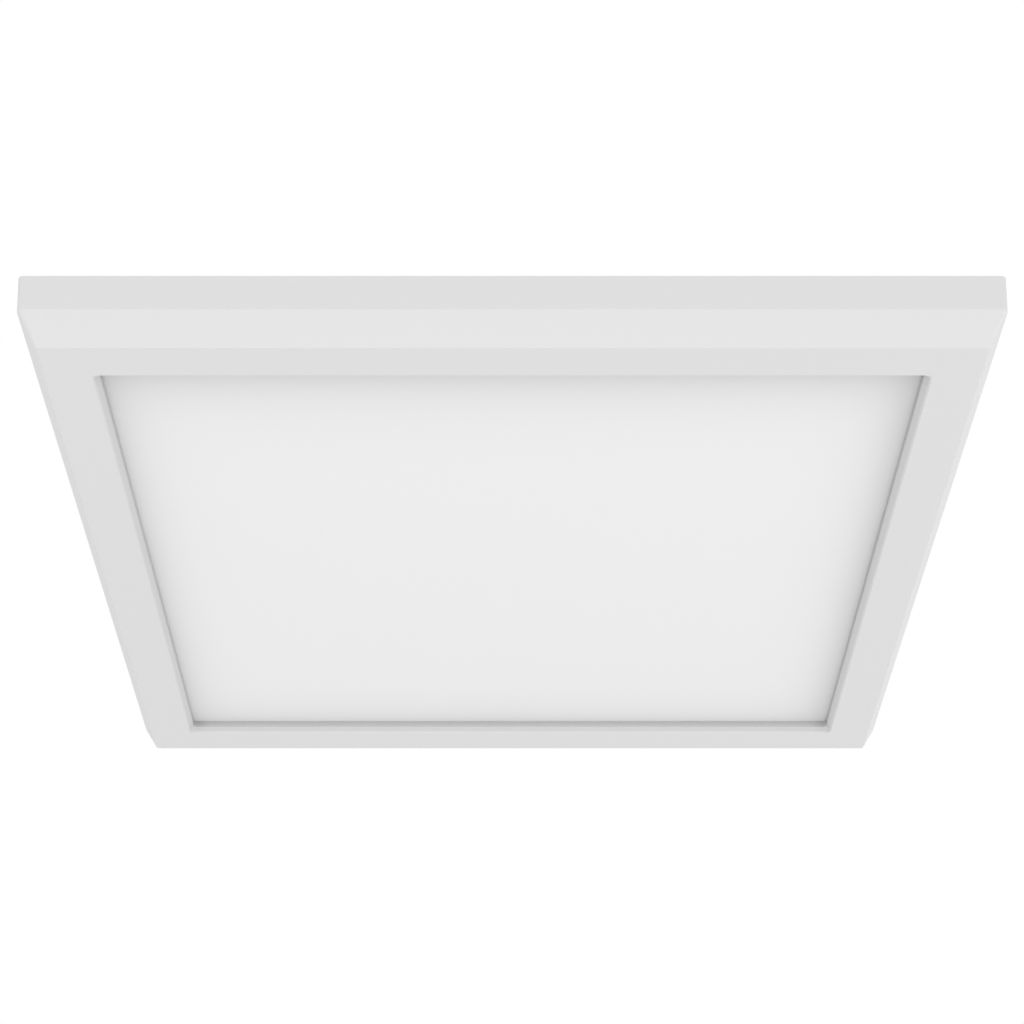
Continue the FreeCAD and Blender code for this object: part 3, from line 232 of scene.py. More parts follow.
class CeilingLightStage(bpy.types.PropertyGroup):
    """Camera, floor and lamps."""

    camera_place: bpy.props.FloatVectorProperty(
        name="Camera place",
        description="Where the camera stands, from the middle of the mounting plate",
        subtype="XYZ",
        unit="LENGTH",
        size=3,
        default=(-2.8 * MM, -721.4 * MM, -418.9 * MM),
    )
    camera_tilt: bpy.props.FloatProperty(
        name="Camera tilt",
        description="How far the camera looks up",
        subtype="ANGLE",
        unit="ROTATION",
        default=math.radians(30.448),
    )
    camera_lens: bpy.props.FloatProperty(
        name="Camera lens",
        description="Focal length on a 36 mm sensor",
        unit="CAMERA",
        default=81.75,
    )
    camera_shift: bpy.props.FloatProperty(
        name="Camera shift",
        description="Sideways shift, as a share of the picture's width",
        default=0.0088,
    )
    floor_drop: bpy.props.FloatProperty(
        name="Floor drop",
        description="From the ceiling down to the floor of the stage",
        unit="LENGTH",
        default=2.4,
    )
    room_light: bpy.props.FloatProperty(
        name="Room light",
        description="Strength of the even light from all round",
        min=0.0,
        default=0.765,
    )
    front_lamp: bpy.props.FloatProperty(
        name="Front lamp",
        description="Large soft lamp in front of and below the light",
        subtype="POWER",
        unit="POWER",
        min=0.0,
        default=18.2,
    )
    right_lamp: bpy.props.FloatProperty(
        name="Right lamp",
        description="Soft lamp to the right of the light and a little below it",
        subtype="POWER",
        unit="POWER",
        min=0.0,
        default=4.4,
    )


# ---- Shader helpers ----


def add(tree, kind, inputs=None, **settings):
    """Add a node with its settings. Each input is a value, or an output to link from."""
    made = tree.nodes.new(kind)
    for name, value in settings.items():
        setattr(made, name, value)
    for key, value in (inputs or {}).items():
        if isinstance(value, bpy.types.NodeSocket):
            tree.links.new(value, made.inputs[key])
        else:
            made.inputs[key].default_value = value
    return made


# Painted shade on the opal sheet: how deep it is right at each edge, as a share of the tone.
EDGE_SHADE = {"left": 0.42, "right": 0.52, "front": 0.64, "rear": 0.28}
BEVEL_PAINTED_SHADE = 0.83  # painted shade on the opening's bevel, as a share of the coat's tone
CORNER_PAINTED_SHADE = 0.25  # painted shade in a closed inside corner, which no open place reaches, as a share of the coat's tone
CORNER_SHADE_REACH = 7.0  # how near another surface must be for painted shade, in millimetres

MIX_FACTOR, MIX_FIRST, MIX_SECOND, MIX_COLOUR = 0, 6, 7, 2  # sockets of a colour Mix node


class Finish:
    """A material in the making: its nodes, its place in millimetres, its grain and its tone."""

    def __init__(self, name, tones, grain, relief, roughness, gloss_spread=0.05, along=(1, 1, 1), edge=0.0):
        """Tones are dark and light; grain, relief and edge are millimetres; along stretches the grain."""
        self.material = bpy.data.materials.new(name)
        self.material.use_nodes = True
        self.tree = tree = self.material.node_tree
        self.shader = tree.nodes["Principled BSDF"]
        corner = add(tree, "ShaderNodeTexCoord").outputs["Object"]
        to_mm = {0: corner, "Scale": 1 / MM}
        self.place = add(tree, "ShaderNodeVectorMath", to_mm, operation="SCALE").outputs[0]
        stretched = add(tree, "ShaderNodeMapping", {"Vector": self.place, "Scale": along})
        noise = {"Vector": stretched.outputs[0], "Scale": 1 / grain, "Detail": 3.0, "Roughness": 0.6}
        self.grain = add(tree, "ShaderNodeTexNoise", noise).outputs["Fac"]
        self.tone = self.mixed(self.grain, *tones)
        low, high = roughness - gloss_spread, roughness + gloss_spread
        gloss = {"Value": self.grain, "From Min": 0.3, "From Max": 0.7, "To Min": low, "To Max": high}
        self.gloss = add(tree, "ShaderNodeMapRange", gloss).outputs[0]
        rounded = add(tree, "ShaderNodeBevel", {"Radius": edge * MM}, samples=4) if edge else None
        bump = {"Height": self.grain, "Distance": relief * MM, "Strength": 1.0}
        if rounded:
            bump["Normal"] = rounded.outputs[0]
        self.bump = add(tree, "ShaderNodeBump", bump)
        self.link("Base Color", self.tone)
        self.link("Roughness", self.gloss)
        self.link("Normal", self.bump.outputs[0])

    def link(self, name, output):
        """Link an output to an input of the surface shader."""
        self.tree.links.new(output, self.shader.inputs[name])

    def set(self, **values):
        """Set the shader's own sockets; a name's underscores are spaces."""
        for name, value in values.items():
            self.shader.inputs[name.replace("_", " ")].default_value = value

    def mixed(self, factor, first, second):
        """Blend two colours, or two outputs, by a factor."""
        inputs = {MIX_FACTOR: factor}
        for key, value in ((MIX_FIRST, first), (MIX_SECOND, second)):
            is_colour = not isinstance(value, bpy.types.NodeSocket)
            inputs[key] = (*tuple(value)[:3], 1.0) if is_colour else value
        return add(self.tree, "ShaderNodeMix", inputs, data_type="RGBA").outputs[MIX_COLOUR]

    def maths(self, operation, first, second=0.0, third=0.0):
        """One step of arithmetic on outputs or numbers."""
        values = {0: first, 1: second, 2: third}
        return add(self.tree, "ShaderNodeMath", values, operation=operation).outputs[0]

    def axes(self):
        """The place along X, Y and Z, in millimetres."""
        return add(self.tree, "ShaderNodeSeparateXYZ", {0: self.place}).outputs

    def within(self, axis, low, high):
        """One where the place along an axis lies between two millimetre values, else nothing."""
        above = self.maths("GREATER_THAN", self.axes()[axis], low)
        below = self.maths("LESS_THAN", self.axes()[axis], high)
        return self.maths("MULTIPLY", above, below)


def darker(colour, share):
    """The same colour at a share of its brightness."""
    return tuple(channel * share for channel in colour)


# ---- Materials, each named for its real finish ----


def white_powder_coat():
    """Polyester powder on die-cast aluminium, sprayed and baked: satin, with a faint orange peel, and painted
    shade on the opening's bevel and in inside corners.
    """
    coat = bpy.context.scene.ceiling_light_finishes.frame_coat
    # The peel's crests lie about 1.4 mm apart on the real coat, and stand a few microns high.
    finish = Finish("white_powder_coat", (darker(coat, 0.99), coat), 1.4, 0.012, 0.46, 0.03)
    # Painted shade on the opening's bevel: the coat is darkened from the bevel's edge in.
    x, y, z = finish.axes()
    across = finish.maths("MAXIMUM", finish.maths("ABSOLUTE", x), finish.maths("ABSOLUTE", y))
    shade_begins, shade_deepest = opening_half / MM + 0.2, opening_half / MM - 0.9
    bevel_shade_range = {"Value": across, "From Min": shade_deepest, "From Max": shade_begins, "To Min": BEVEL_PAINTED_SHADE, "To Max": 1.0}
    bevel_shade = add(finish.tree, "ShaderNodeMapRange", bevel_shade_range, interpolation_type="SMOOTHSTEP").outputs[0]
    on_bevel = finish.maths("LESS_THAN", z, bevel_top / MM)
    toned = finish.mixed(on_bevel, finish.tone, finish.mixed(bevel_shade, (0, 0, 0), finish.tone))
    # Painted shade: inside corners and recesses are darkened by ambient occlusion.
    near = {"Distance": CORNER_SHADE_REACH * MM}
    occlusion = add(finish.tree, "ShaderNodeAmbientOcclusion", near, samples=8).outputs["AO"]
    finish.link("Base Color", finish.mixed(occlusion, darker(coat, CORNER_PAINTED_SHADE), toned))
    finish.set(IOR=1.5)
    return finish.material


def opal_sheet():
    """Extruded opal acrylic, matt underneath: bright and even, with painted shade beside the frame."""
    settings = bpy.context.scene.ceiling_light_finishes
    # The matt side's grain is near 0.05 mm; it is drawn at 0.8 mm, the finest that shows.
    tones = (darker(settings.lens_middle, 0.995), settings.lens_middle)
    finish = Finish("opal_sheet", tones, 0.8, 0.004, 0.55)
    # Painted shade: the sheet is darkened near each edge of the window, falling off as a decay from there in.
    x, y, _ = finish.axes()
    strips, plain = settings.strip_side_fade / MM, settings.plain_side_fade / MM
    unshaded_share = 1.0
    edges = (("left", x, 1, strips), ("right", x, -1, strips), ("front", y, 1, plain), ("rear", y, -1, plain))
    for edge, along, inward, fade in edges:
        inside = finish.maths("MULTIPLY_ADD", along, inward, window_half / MM)
        edge_shade_decay = finish.maths("EXPONENT", finish.maths("DIVIDE", inside, -fade))
        unshaded_share = finish.maths("MULTIPLY", unshaded_share, finish.maths("MULTIPLY_ADD", edge_shade_decay, -EDGE_SHADE[edge], 1.0))
    finish.link("Base Color", finish.mixed(unshaded_share, settings.lens_edge, finish.tone))
    finish.set(IOR=1.49)
    return finish.material


def clear_acrylic():
    """Cast clear acrylic with flame-polished edges and fine printed dots that let the light out."""
    finish = Finish("clear_acrylic", (linear("#F6FAF8"), linear("#FDFFFE")), 40.0, 0.001, 0.04, 0.02)
    # The dots are about 0.5 mm wide and lie 1.6 mm apart.
    dots = {"Vector": finish.place, "Scale": 1 / 1.6, "Randomness": 0.0}
    cells = add(finish.tree, "ShaderNodeTexVoronoi", dots, voronoi_dimensions="2D").outputs["Distance"]
    printed = finish.maths("LESS_THAN", cells, 0.17)
    finish.link("Base Color", finish.mixed(printed, finish.tone, linear("#E9EDEB")))
    finish.set(IOR=1.49, Transmission_Weight=0.9)
    return finish.material


def white_film():
    """Foamed polyester reflector film: very white, with a soft pearly gloss."""
    finish = Finish("white_film", (linear("#F0F1F1"), linear("#F8F8F8")), 2.5, 0.006, 0.38)
    finish.set(IOR=1.57, Sheen_Weight=0.1)
    return finish.material


def grey_foam():
    """Open-cell polyurethane foam, cut in strips: dull, with cells near 0.8 mm."""
    finish = Finish("grey_foam", (linear("#5E6265"), linear("#7F8386")), 3.0, 0.05, 0.92, 0.04)
    # Painted shade: the foam's cells are darker in their hollows.
    cells = {"Vector": finish.place, "Scale": 1 / 0.8}
    holes = add(finish.tree, "ShaderNodeTexVoronoi", cells).outputs["Distance"]
    finish.link("Base Color", finish.mixed(holes, linear("#43474A"), finish.tone))
    finish.tree.links.new(holes, finish.bump.inputs["Height"])
    finish.bump.inputs["Distance"].default_value = 0.25 * MM
    finish.set(IOR=1.5)
    return finish.material


def galvanised_steel():
    """Hot-dip galvanised sheet: grey zinc in flat crystals, each with a tone and gloss of its own."""
    zinc = bpy.context.scene.ceiling_light_finishes.zinc
    finish = Finish("galvanised_steel", (darker(zinc, 0.9), zinc), 0.9, 0.006, 0.42, 0.04, edge=0.2)
    tree = finish.tree
    # Minimised spangle has crystals about 6 mm across, with frayed edges.
    ripples = {"Vector": finish.place, "Scale": 0.7, "Detail": 2.0}
    push = add(tree, "ShaderNodeTexNoise", ripples).outputs["Color"]
    frayed = {0: push, 1: (2.4, 2.4, 2.4), 2: finish.place}
    pushed = add(tree, "ShaderNodeVectorMath", frayed, operation="MULTIPLY_ADD").outputs[0]
    crystal = add(tree, "ShaderNodeTexVoronoi", {"Vector": pushed, "Scale": 1 / 6.0}).outputs["Color"]
    own = add(tree, "ShaderNodeSeparateColor", {0: crystal}).outputs
    toned = finish.mixed(own[0], darker(zinc, 0.78), zinc)
    finish.link("Base Color", finish.mixed(0.35, toned, finish.tone))
    shine = {"Value": own[1], "To Min": 0.34, "To Max": 0.52}
    finish.link("Roughness", add(tree, "ShaderNodeMapRange", shine).outputs[0])
    finish.set(Metallic=1.0)
    return finish.material


def electro_zinc_steel():
    """Cold-rolled sheet with electroplated zinc: a smooth, even, bluish grey with faint rolling lines."""
    zinc = bpy.context.scene.ceiling_light_finishes.zinc
    # Rolling lines run along X, near 0.1 mm apart, and are drawn at 0.5 mm.
    tones = (darker(zinc, 0.92), zinc)
    finish = Finish("electro_zinc_steel", tones, 0.5, 0.004, 0.36, 0.04, along=(0.02, 1, 1), edge=0.15)
    # The plating's thickness drifts in clouds about 30 mm across.
    cloud = {"Vector": finish.place, "Scale": 1 / 30, "Detail": 1.0}
    cloudy = add(finish.tree, "ShaderNodeTexNoise", cloud).outputs["Fac"]
    bright = tuple(min(1.0, value * 1.12) for value in zinc)
    finish.link("Base Color", finish.mixed(cloudy, finish.tone, bright))
    finish.set(Metallic=1.0)
    return finish.material


def extruded_aluminium():
    """Extruded aluminium, left bare: soft grey with fine die lines along its length."""
    # Die lines are near 0.1 mm apart and are drawn at 0.35 mm.
    tones = (linear("#A9ABAD"), linear("#C4C6C8"))
    finish = Finish("extruded_aluminium", tones, 0.35, 0.01, 0.36, along=(1, 0.01, 1), edge=0.15)
    finish.set(Metallic=1.0)
    return finish.material


def white_solder_mask():
    """White epoxy solder mask on an aluminium-core board: semi-gloss, very slightly uneven."""
    finish = Finish("white_solder_mask", (linear("#E6E7E3"), linear("#F1F2EF")), 1.2, 0.01, 0.36)
    finish.set(IOR=1.52)
    return finish.material


def led_phosphor():
    """White LED packages, moulded in filled resin: chalky white and slightly rough."""
    finish = Finish("led_phosphor", (linear("#E4E4DE"), linear("#F3F3EE")), 0.5, 0.01, 0.5)
    finish.set(IOR=1.55)
    return finish.material


def yellow_phosphor():
    """Silicone loaded with phosphor, in the window of each LED: matt, warm yellow."""
    finish = Finish("yellow_phosphor", (linear("#D9B93A"), linear("#ECCF5C")), 0.25, 0.01, 0.4)
    finish.set(IOR=1.41, Subsurface_Weight=0.1)
    return finish.material


def white_abs():
    """Injection-moulded ABS from a spark-eroded tool: a dull, faintly grained white."""
    # The tool's texture is near 0.1 mm and is drawn at 0.5 mm.
    finish = Finish("white_abs", (linear("#E3E3E0"), linear("#EDEDEA")), 0.5, 0.02, 0.48, edge=0.15)
    finish.set(IOR=1.54)
    return finish.material


def zinc_plated_steel():
    """Bright zinc plating with a blue passivate: a cool, slightly cloudy shine."""
    tones = (linear("#AEB4BA"), linear("#CDD2D6"))
    finish = Finish("zinc_plated_steel", tones, 1.1, 0.006, 0.27, 0.06, edge=0.12)
    finish.set(Metallic=1.0)
    return finish.material


def green_screw():
    """Zinc-plated steel dyed green for earth: the metal shines through the dye."""
    finish = Finish("green_screw", (linear("#1E6B38"), linear("#35934F")), 0.8, 0.006, 0.34, 0.06, edge=0.12)
    finish.set(Metallic=0.85)
    return finish.material


def spring_steel():
    """Hardened strip steel, rolled, tempered and polished: a cool mid grey with faint rolling lines."""
    # Rolling lines run along the strip, under 0.1 mm apart, and are drawn at 0.4 mm.
    tones = (linear("#85888B"), linear("#93969A"))
    finish = Finish("spring_steel", tones, 0.4, 0.002, 0.26, 0.04, along=(0.02, 1, 0.02), edge=0.1)
    finish.set(Metallic=1.0)
    return finish.material


def aluminium_rivet():
    """Soft aluminium, pressed to shape: bright and a little smeared."""
    finish = Finish("aluminium_rivet", (linear("#B4B6B8"), linear("#D0D2D3")), 0.6, 0.01, 0.33, edge=0.12)
    finish.set(Metallic=1.0)
    return finish.material


def white_polycarbonate():
    """Flame-retardant polycarbonate, moulded: a slightly blue white with a fine leathery texture."""
    plastic = bpy.context.scene.ceiling_light_finishes.driver_plastic
    # The tool's texture is near 0.2 mm and is drawn at 0.6 mm.
    finish = Finish("white_polycarbonate", (darker(plastic, 0.94), plastic), 0.6, 0.03, 0.42, edge=0.3)
    finish.set(IOR=1.585)
    return finish.material


def green_circuit_board():
    """Glass-epoxy board under green solder mask, with paler copper tracks under the mask."""
    finish = Finish("green_circuit_board", (linear("#1B5E3A"), linear("#227048")), 0.7, 0.01, 0.34)
    # Tracks and pours are blocks of 9 by 3.2 mm, with 0.5 mm gaps.
    blocks = {
        "Vector": finish.place, "Scale": 1.0, "Brick Width": 9.0, "Row Height": 3.2, "Mortar Size": 0.25,
    }
    copper = add(finish.tree, "ShaderNodeTexBrick", blocks, offset=0.37).outputs["Fac"]
    finish.link("Base Color", finish.mixed(copper, linear("#2E8055"), finish.tone))
    finish.set(IOR=1.55)
    return finish.material


def dark_ferrite():
    """Pressed ferrite core round a winding wrapped in amber tape."""
    finish = Finish("dark_ferrite", (linear("#232224"), linear("#343336")), 0.7, 0.02, 0.6, edge=0.2)
    low, high = (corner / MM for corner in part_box("driver_transformer"))
    yoke, plate = 1.9, 0.65
    between_yokes = finish.within(1, low.y + yoke, high.y - yoke)
    between_plates = finish.within(2, low.z + plate, high.z - plate)
    taped = finish.maths("MULTIPLY", between_yokes, between_plates)
    finish.link("Base Color", finish.mixed(taped, finish.tone, linear("#C98A1E")))
    finish.set(IOR=1.6)
    return finish.material


def capacitor_sleeve():
    """Shrunk vinyl sleeve on an aluminium can, with one pale stripe along the minus side."""
    finish = Finish("capacitor_sleeve", (linear("#161B26"), linear("#222A3A")), 0.9, 0.01, 0.3)
    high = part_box("driver_capacitors")[1] / MM
    stripe_depth, bare_end = 1.1, 0.35
    striped = finish.maths("GREATER_THAN", finish.axes()[2], high.z - stripe_depth)
    sleeve = finish.mixed(striped, finish.tone, linear("#A7B0BC"))
    bare = finish.maths("GREATER_THAN", finish.axes()[0], high.x - bare_end)
    finish.link("Base Color", finish.mixed(bare, sleeve, linear("#B9BCBE")))
    finish.set(IOR=1.53)
    return finish.material


def copper_winding():
    """Copper wire under clear enamel: a warm reddish metal with a varnished gloss."""
    finish = Finish("copper_winding", (linear("#9C4A22"), linear("#C3693A")), 0.6, 0.005, 0.26)
    finish.set(Metallic=1.0, Coat_Weight=0.5, Coat_Roughness=0.12)
    return finish.material


def green_ring_core():
    """Iron powder ring core under green epoxy paint: smooth and slightly glossy."""
    finish = Finish("green_ring_core", (linear("#2F6B45"), linear("#3D8057")), 0.8, 0.01, 0.34)
    finish.set(IOR=1.55)
    return finish.material


def black_epoxy():
    """Moulded epoxy chip packages: near black and evenly matt."""
    finish = Finish("black_epoxy", (linear("#171718"), linear("#232324")), 0.4, 0.01, 0.55, edge=0.12)
    finish.set(IOR=1.55)
    return finish.material


def grey_polyamide():
    """Glass-filled polyamide, moulded: mid grey with a dry surface and faint glass streaks."""
    tones = (linear("#7F858A"), linear("#969CA1"))
    finish = Finish("grey_polyamide", tones, 0.7, 0.02, 0.5, along=(1, 0.3, 1), edge=0.25)
    finish.set(IOR=1.53)
    return finish.material


def tinned_brass():
    """Stamped brass with matt tin: pale, warm grey metal."""
    finish = Finish("tinned_brass", (linear("#B2AC9D"), linear("#CEC9BC")), 0.5, 0.006, 0.33, edge=0.1)
    finish.set(Metallic=1.0)
    return finish.material


def orange_polyamide():
    """Unfilled polyamide, moulded: clear orange with a waxy gloss."""
    plastic = bpy.context.scene.ceiling_light_finishes.button_plastic
    finish = Finish("orange_polyamide", (darker(plastic, 0.9), plastic), 0.7, 0.01, 0.38, edge=0.15)
    finish.set(IOR=1.53, Subsurface_Weight=0.05)
    return finish.material


def black_polyamide():
    """Moulded polyamide of the switch: near black, dry and even."""
    finish = Finish("black_polyamide", (linear("#1A1B1C"), linear("#28292A")), 0.5, 0.015, 0.5, edge=0.15)
    finish.set(IOR=1.53)
    return finish.material


def white_polyamide():
    """Natural polyamide: a milky, slightly yellow white that light enters a little."""
    finish = Finish("white_polyamide", (linear("#E3E0D4"), linear("#EEECE2")), 0.8, 0.012, 0.45, edge=0.15)
    finish.set(IOR=1.53, Subsurface_Weight=0.08)
    return finish.material


def red_insulation():
    """Extruded vinyl on stranded wire: red, soft gloss, the strands showing faintly."""
    finish = Finish("red_insulation", (linear("#96181A"), linear("#B52322")), 0.9, 0.02, 0.38)
    finish.set(IOR=1.53)
    return finish.material


def black_insulation():
    """The same vinyl in black."""
    finish = Finish("black_insulation", (linear("#141415"), linear("#202021")), 0.9, 0.02, 0.38)
    finish.set(IOR=1.53)
    return finish.material


def black_rubber():
    """Moulded synthetic rubber: charcoal, dull, with a dusty bloom."""
    finish = Finish("black_rubber", (linear("#171717"), linear("#262626")), 0.7, 0.02, 0.78)
    finish.set(IOR=1.52, Sheen_Weight=0.15, Sheen_Roughness=0.5)
    return finish.material


def white_ink():
    """Two-part ink from a pad printer: a thin, flat, dense white."""
    finish = Finish("white_ink", (linear("#E9E9E6"), linear("#F2F2EF")), 0.3, 0.004, 0.5)
    finish.set(IOR=1.5)
    return finish.material


def bright_solder():
    """Tin and copper solder, set in a smooth fillet: silvery, with a slightly frosted skin."""
    finish = Finish("bright_solder", (linear("#B8BBBD"), linear("#D6D8DA")), 0.5, 0.006, 0.28)
    finish.set(Metallic=1.0)
    return finish.material


def finished(maker):
    """The material that a function above makes, made once."""
    return bpy.data.materials.get(maker.__name__ + "_finish") or named(maker)


def named(maker):
    """Make a material and name it for its finish, apart from the slot's own plain colour."""
    material = maker()
    material.name = maker.__name__ + "_finish"
    return material


def dress(maker, *nodes):
    """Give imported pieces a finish."""
    material = finished(maker)
    for node in nodes:
        for material_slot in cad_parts[node].material_slots:
            material_slot.material = material


# ---- Mesh helpers ----


def new_piece(name, mesh, maker, body, smooth=True):
    """An object from a bmesh, with its finish, that rides on a body."""
    bmesh.ops.recalc_face_normals(mesh, faces=mesh.faces)
    data = bpy.data.meshes.new(name)
    mesh.to_mesh(data)
    mesh.free()
    data.materials.append(finished(maker))
    if smooth:
        data.shade_smooth()
    piece = bpy.data.objects.new(name, data)
    bpy.context.scene.collection.objects.link(piece)
    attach(piece, body)
    return piece


def round_axis(radius, angle, height):
    """A point so far from the upright axis, at an angle and a height."""
    return Vector((radius * math.cos(angle), radius * math.sin(angle), height))


def turned(mesh, profile, centre, steps=24):
    """Add a closed, upright solid of revolution. The profile is pairs of radius and height."""
    rings = []
    for radius, height in profile:
        ring = []
        for step in range(steps if radius > 0 else 1):
            angle = 2 * math.pi * step / steps
            ring.append(mesh.verts.new(centre + round_axis(radius, angle, height)))
        rings.append(ring)
    for lower, upper in zip(rings, rings[1:]):
        for step in range(steps):
            following = (step + 1) % steps
            corners = [lower[step % len(lower)], lower[following % len(lower)]]
            corners += [upper[following % len(upper)], upper[step % len(upper)]]
            mesh.faces.new(list(dict.fromkeys(corners)))


def prism(mesh, foot, top):
    """Add a closed solid between two outlines that have as many corners."""
    lower = [mesh.verts.new(point) for point in foot]
    upper = [mesh.verts.new(point) for point in top]
    mesh.faces.new(lower)
    mesh.faces.new(upper)
    for here in range(len(lower)):
        after = (here + 1) % len(lower)
        mesh.faces.new((lower[here], lower[after], upper[after], upper[here]))


def dome_profile(radius, height, steps=6):
    """The profile of a low dome that stands on its flat foot."""
    profile = [(0.0, 0.0)]
    for step in range(steps + 1):
        angle = math.pi / 2 * step / steps
        profile.append((radius * math.cos(angle) if step < steps else 0.0, height * math.sin(angle)))
    return profile


class RingSection:
    """The section of a ring: a rectangle with soft corners, between a bore and an outer radius."""

    def __init__(self, bore, outer, half_height):
        self.middle = (bore + outer) / 2
        self.reach = (outer - bore) / 2
        self.half_height = half_height

    def at(self, turns):
        """The radius and height at so many turns round the section."""
        angle = 2 * math.pi * turns
        softness = 0.5  # 1 would make it an ellipse, and less makes its corners tighter
        across, up = (
            math.copysign(abs(value) ** softness, value) for value in (math.cos(angle), math.sin(angle))
        )
        return self.middle + self.reach * across, self.half_height * up


def ring_solid(mesh, section, centre, steps=64, sides=24):
    """Add the ring itself, its section carried round the upright axis."""
    rings = []
    for step in range(steps):
        angle = 2 * math.pi * step / steps
        ring = []
        for side in range(sides):
            radius, height = section.at(side / sides)
            ring.append(mesh.verts.new(centre + round_axis(radius, angle, height)))
        rings.append(ring)
    for step in range(steps):
        here, after = rings[step], rings[(step + 1) % steps]
        for side in range(sides):
            beside = (side + 1) % sides
            mesh.faces.new((here[side], here[beside], after[beside], after[side]))


# ---- Pieces ----


class FrameFinish(bpy.types.Operator):
    """Coat the cast frame"""

    bl_idname = "ceiling_light.trim_frame"
    bl_label = "Trim frame"

    def execute(self, context):
        dress(white_powder_coat, "trim_frame")
        return {"FINISHED"}


class OpticsFinish(bpy.types.Operator):
    """Finish the opal sheet, the light guide, the reflector film and the foam"""

    bl_idname = "ceiling_light.optics"
    bl_label = "Diffuser, guide, film and foam"

    def execute(self, context):
        dress(opal_sheet, "diffuser")
        dress(clear_acrylic, "light_guide")
        dress(white_film, "reflector_sheet")
        dress(grey_foam, "backing_foam")
        return {"FINISHED"}


class LightStrips(bpy.types.Operator):
    """Finish the light strips and set a phosphor window in each LED"""

    bl_idname = "ceiling_light.light_strips"
    bl_label = "Light strips"

    def execute(self, context):
        dress(extruded_aluminium, "right_led_rail", "left_led_rail")
        dress(white_solder_mask, "right_led_board", "left_led_board")
        dress(led_phosphor, "right_leds", "left_leds")
        for side in ("right", "left"):
            self.windows(side, context.scene.ceiling_light_details)
        return {"FINISHED"}

    def windows(self, side, details):
        """The yellow windows of one strip, proud of the packages that hold them."""
        low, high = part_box(side + "_leds")
        chip_length, chip_pitch, window_depth = 3.5 * MM, 6.5 * MM, 0.12 * MM
        count = round((high.y - low.y - chip_length) / chip_pitch) + 1
        face_x = low.x if side == "right" else high.x
        outward = -1 if side == "right" else 1
        half_length, half_height = details.window_length / 2, details.window_height / 2
        corner, taper = half_height * 0.3, 0.94
        mesh = bmesh.new()
        for index in range(count):
            centre = Vector((face_x, low.y + chip_length / 2 + index * chip_pitch, (low.z + high.z) / 2))
            outline = []
            for sign_y, sign_z, start in ((1, 1, 0), (-1, 1, 90), (-1, -1, 180), (1, -1, 270)):
                for step in (0, 30, 60, 90):
                    angle = math.radians(start + step)
                    y = sign_y * (half_length - corner) + corner * math.cos(angle)
                    z = sign_z * (half_height - corner) + corner * math.sin(angle)
                    outline.append(Vector((0, y, z)))
            proud = centre + Vector((outward * window_depth, 0, 0))
            prism(mesh, [centre + point for point in outline], [proud + point * taper for point in outline])
        new_piece(side + "_led_windows", mesh, yellow_phosphor, "light_fixture", smooth=False)


class EdgeSpacers(bpy.types.Operator):
    """Finish the mouldings that centre the guide"""

    bl_idname = "ceiling_light.edge_spacers"
    bl_label = "Edge spacers"

    def execute(self, context):
        dress(white_abs, "rear_edge_spacer", "front_edge_spacer")
        return {"FINISHED"}


class BackPan(bpy.types.Operator):
    """Finish the back pan and the screws round it"""

    bl_idname = "ceiling_light.back_pan"
    bl_label = "Back pan and screws"

    def execute(self, context):
        dress(galvanised_steel, "back_pan")
        dress(zinc_plated_steel, "back_pan_screws")
        return {"FINISHED"}


class CeilingMount(bpy.types.Operator):
    """Finish the mounting plate and its earth screw"""

    bl_idname = "ceiling_light.ceiling_mount"
    bl_label = "Mounting plate"

    def execute(self, context):
        dress(electro_zinc_steel, "mounting_plate")
        dress(zinc_plated_steel, "ground_washer")
        dress(green_screw, "ground_screw")
        return {"FINISHED"}


class SpringClips(bpy.types.Operator):
    """Finish the spring clips and their rivets"""

    bl_idname = "ceiling_light.spring_clips"
    bl_label = "Spring clips"

    def execute(self, context):
        dress(spring_steel, "right_spring_clip", "left_spring_clip")
        dress(aluminium_rivet, "clip_rivets")
        return {"FINISHED"}


class DriverHousing(bpy.types.Operator):
    """Finish the driver's case and cover and raise the marks beside the colour switch"""

    bl_idname = "ceiling_light.driver_housing"
    bl_label = "Driver case and cover"

    def execute(self, context):
        dress(white_polycarbonate, "driver_case", "driver_cover")
        dress(zinc_plated_steel, "driver_case_screws")
        self.switch_marks(context.scene.ceiling_light_details)
        return {"FINISHED"}

    def switch_marks(self, details):
        """One, two and three dots beside the three places of the slider."""
        travel, spacing, set_off, sunk = 3.0 * MM, 1.05 * MM, 2.2 * MM, 0.05 * MM
        low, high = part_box("color_switch_slider")
        mesh = bmesh.new()
        for count in (1, 2, 3):
            for index in range(count):
                x = (low.x + high.x) / 2 + (count - 2) * travel
                y = high.y + set_off + index * spacing
                foot = Vector((x, y, cover_top - sunk))
                turned(mesh, dome_profile(details.mark_radius, details.mark_height + sunk), foot)
        new_piece("switch_marks", mesh, black_polyamide, "light_fixture")


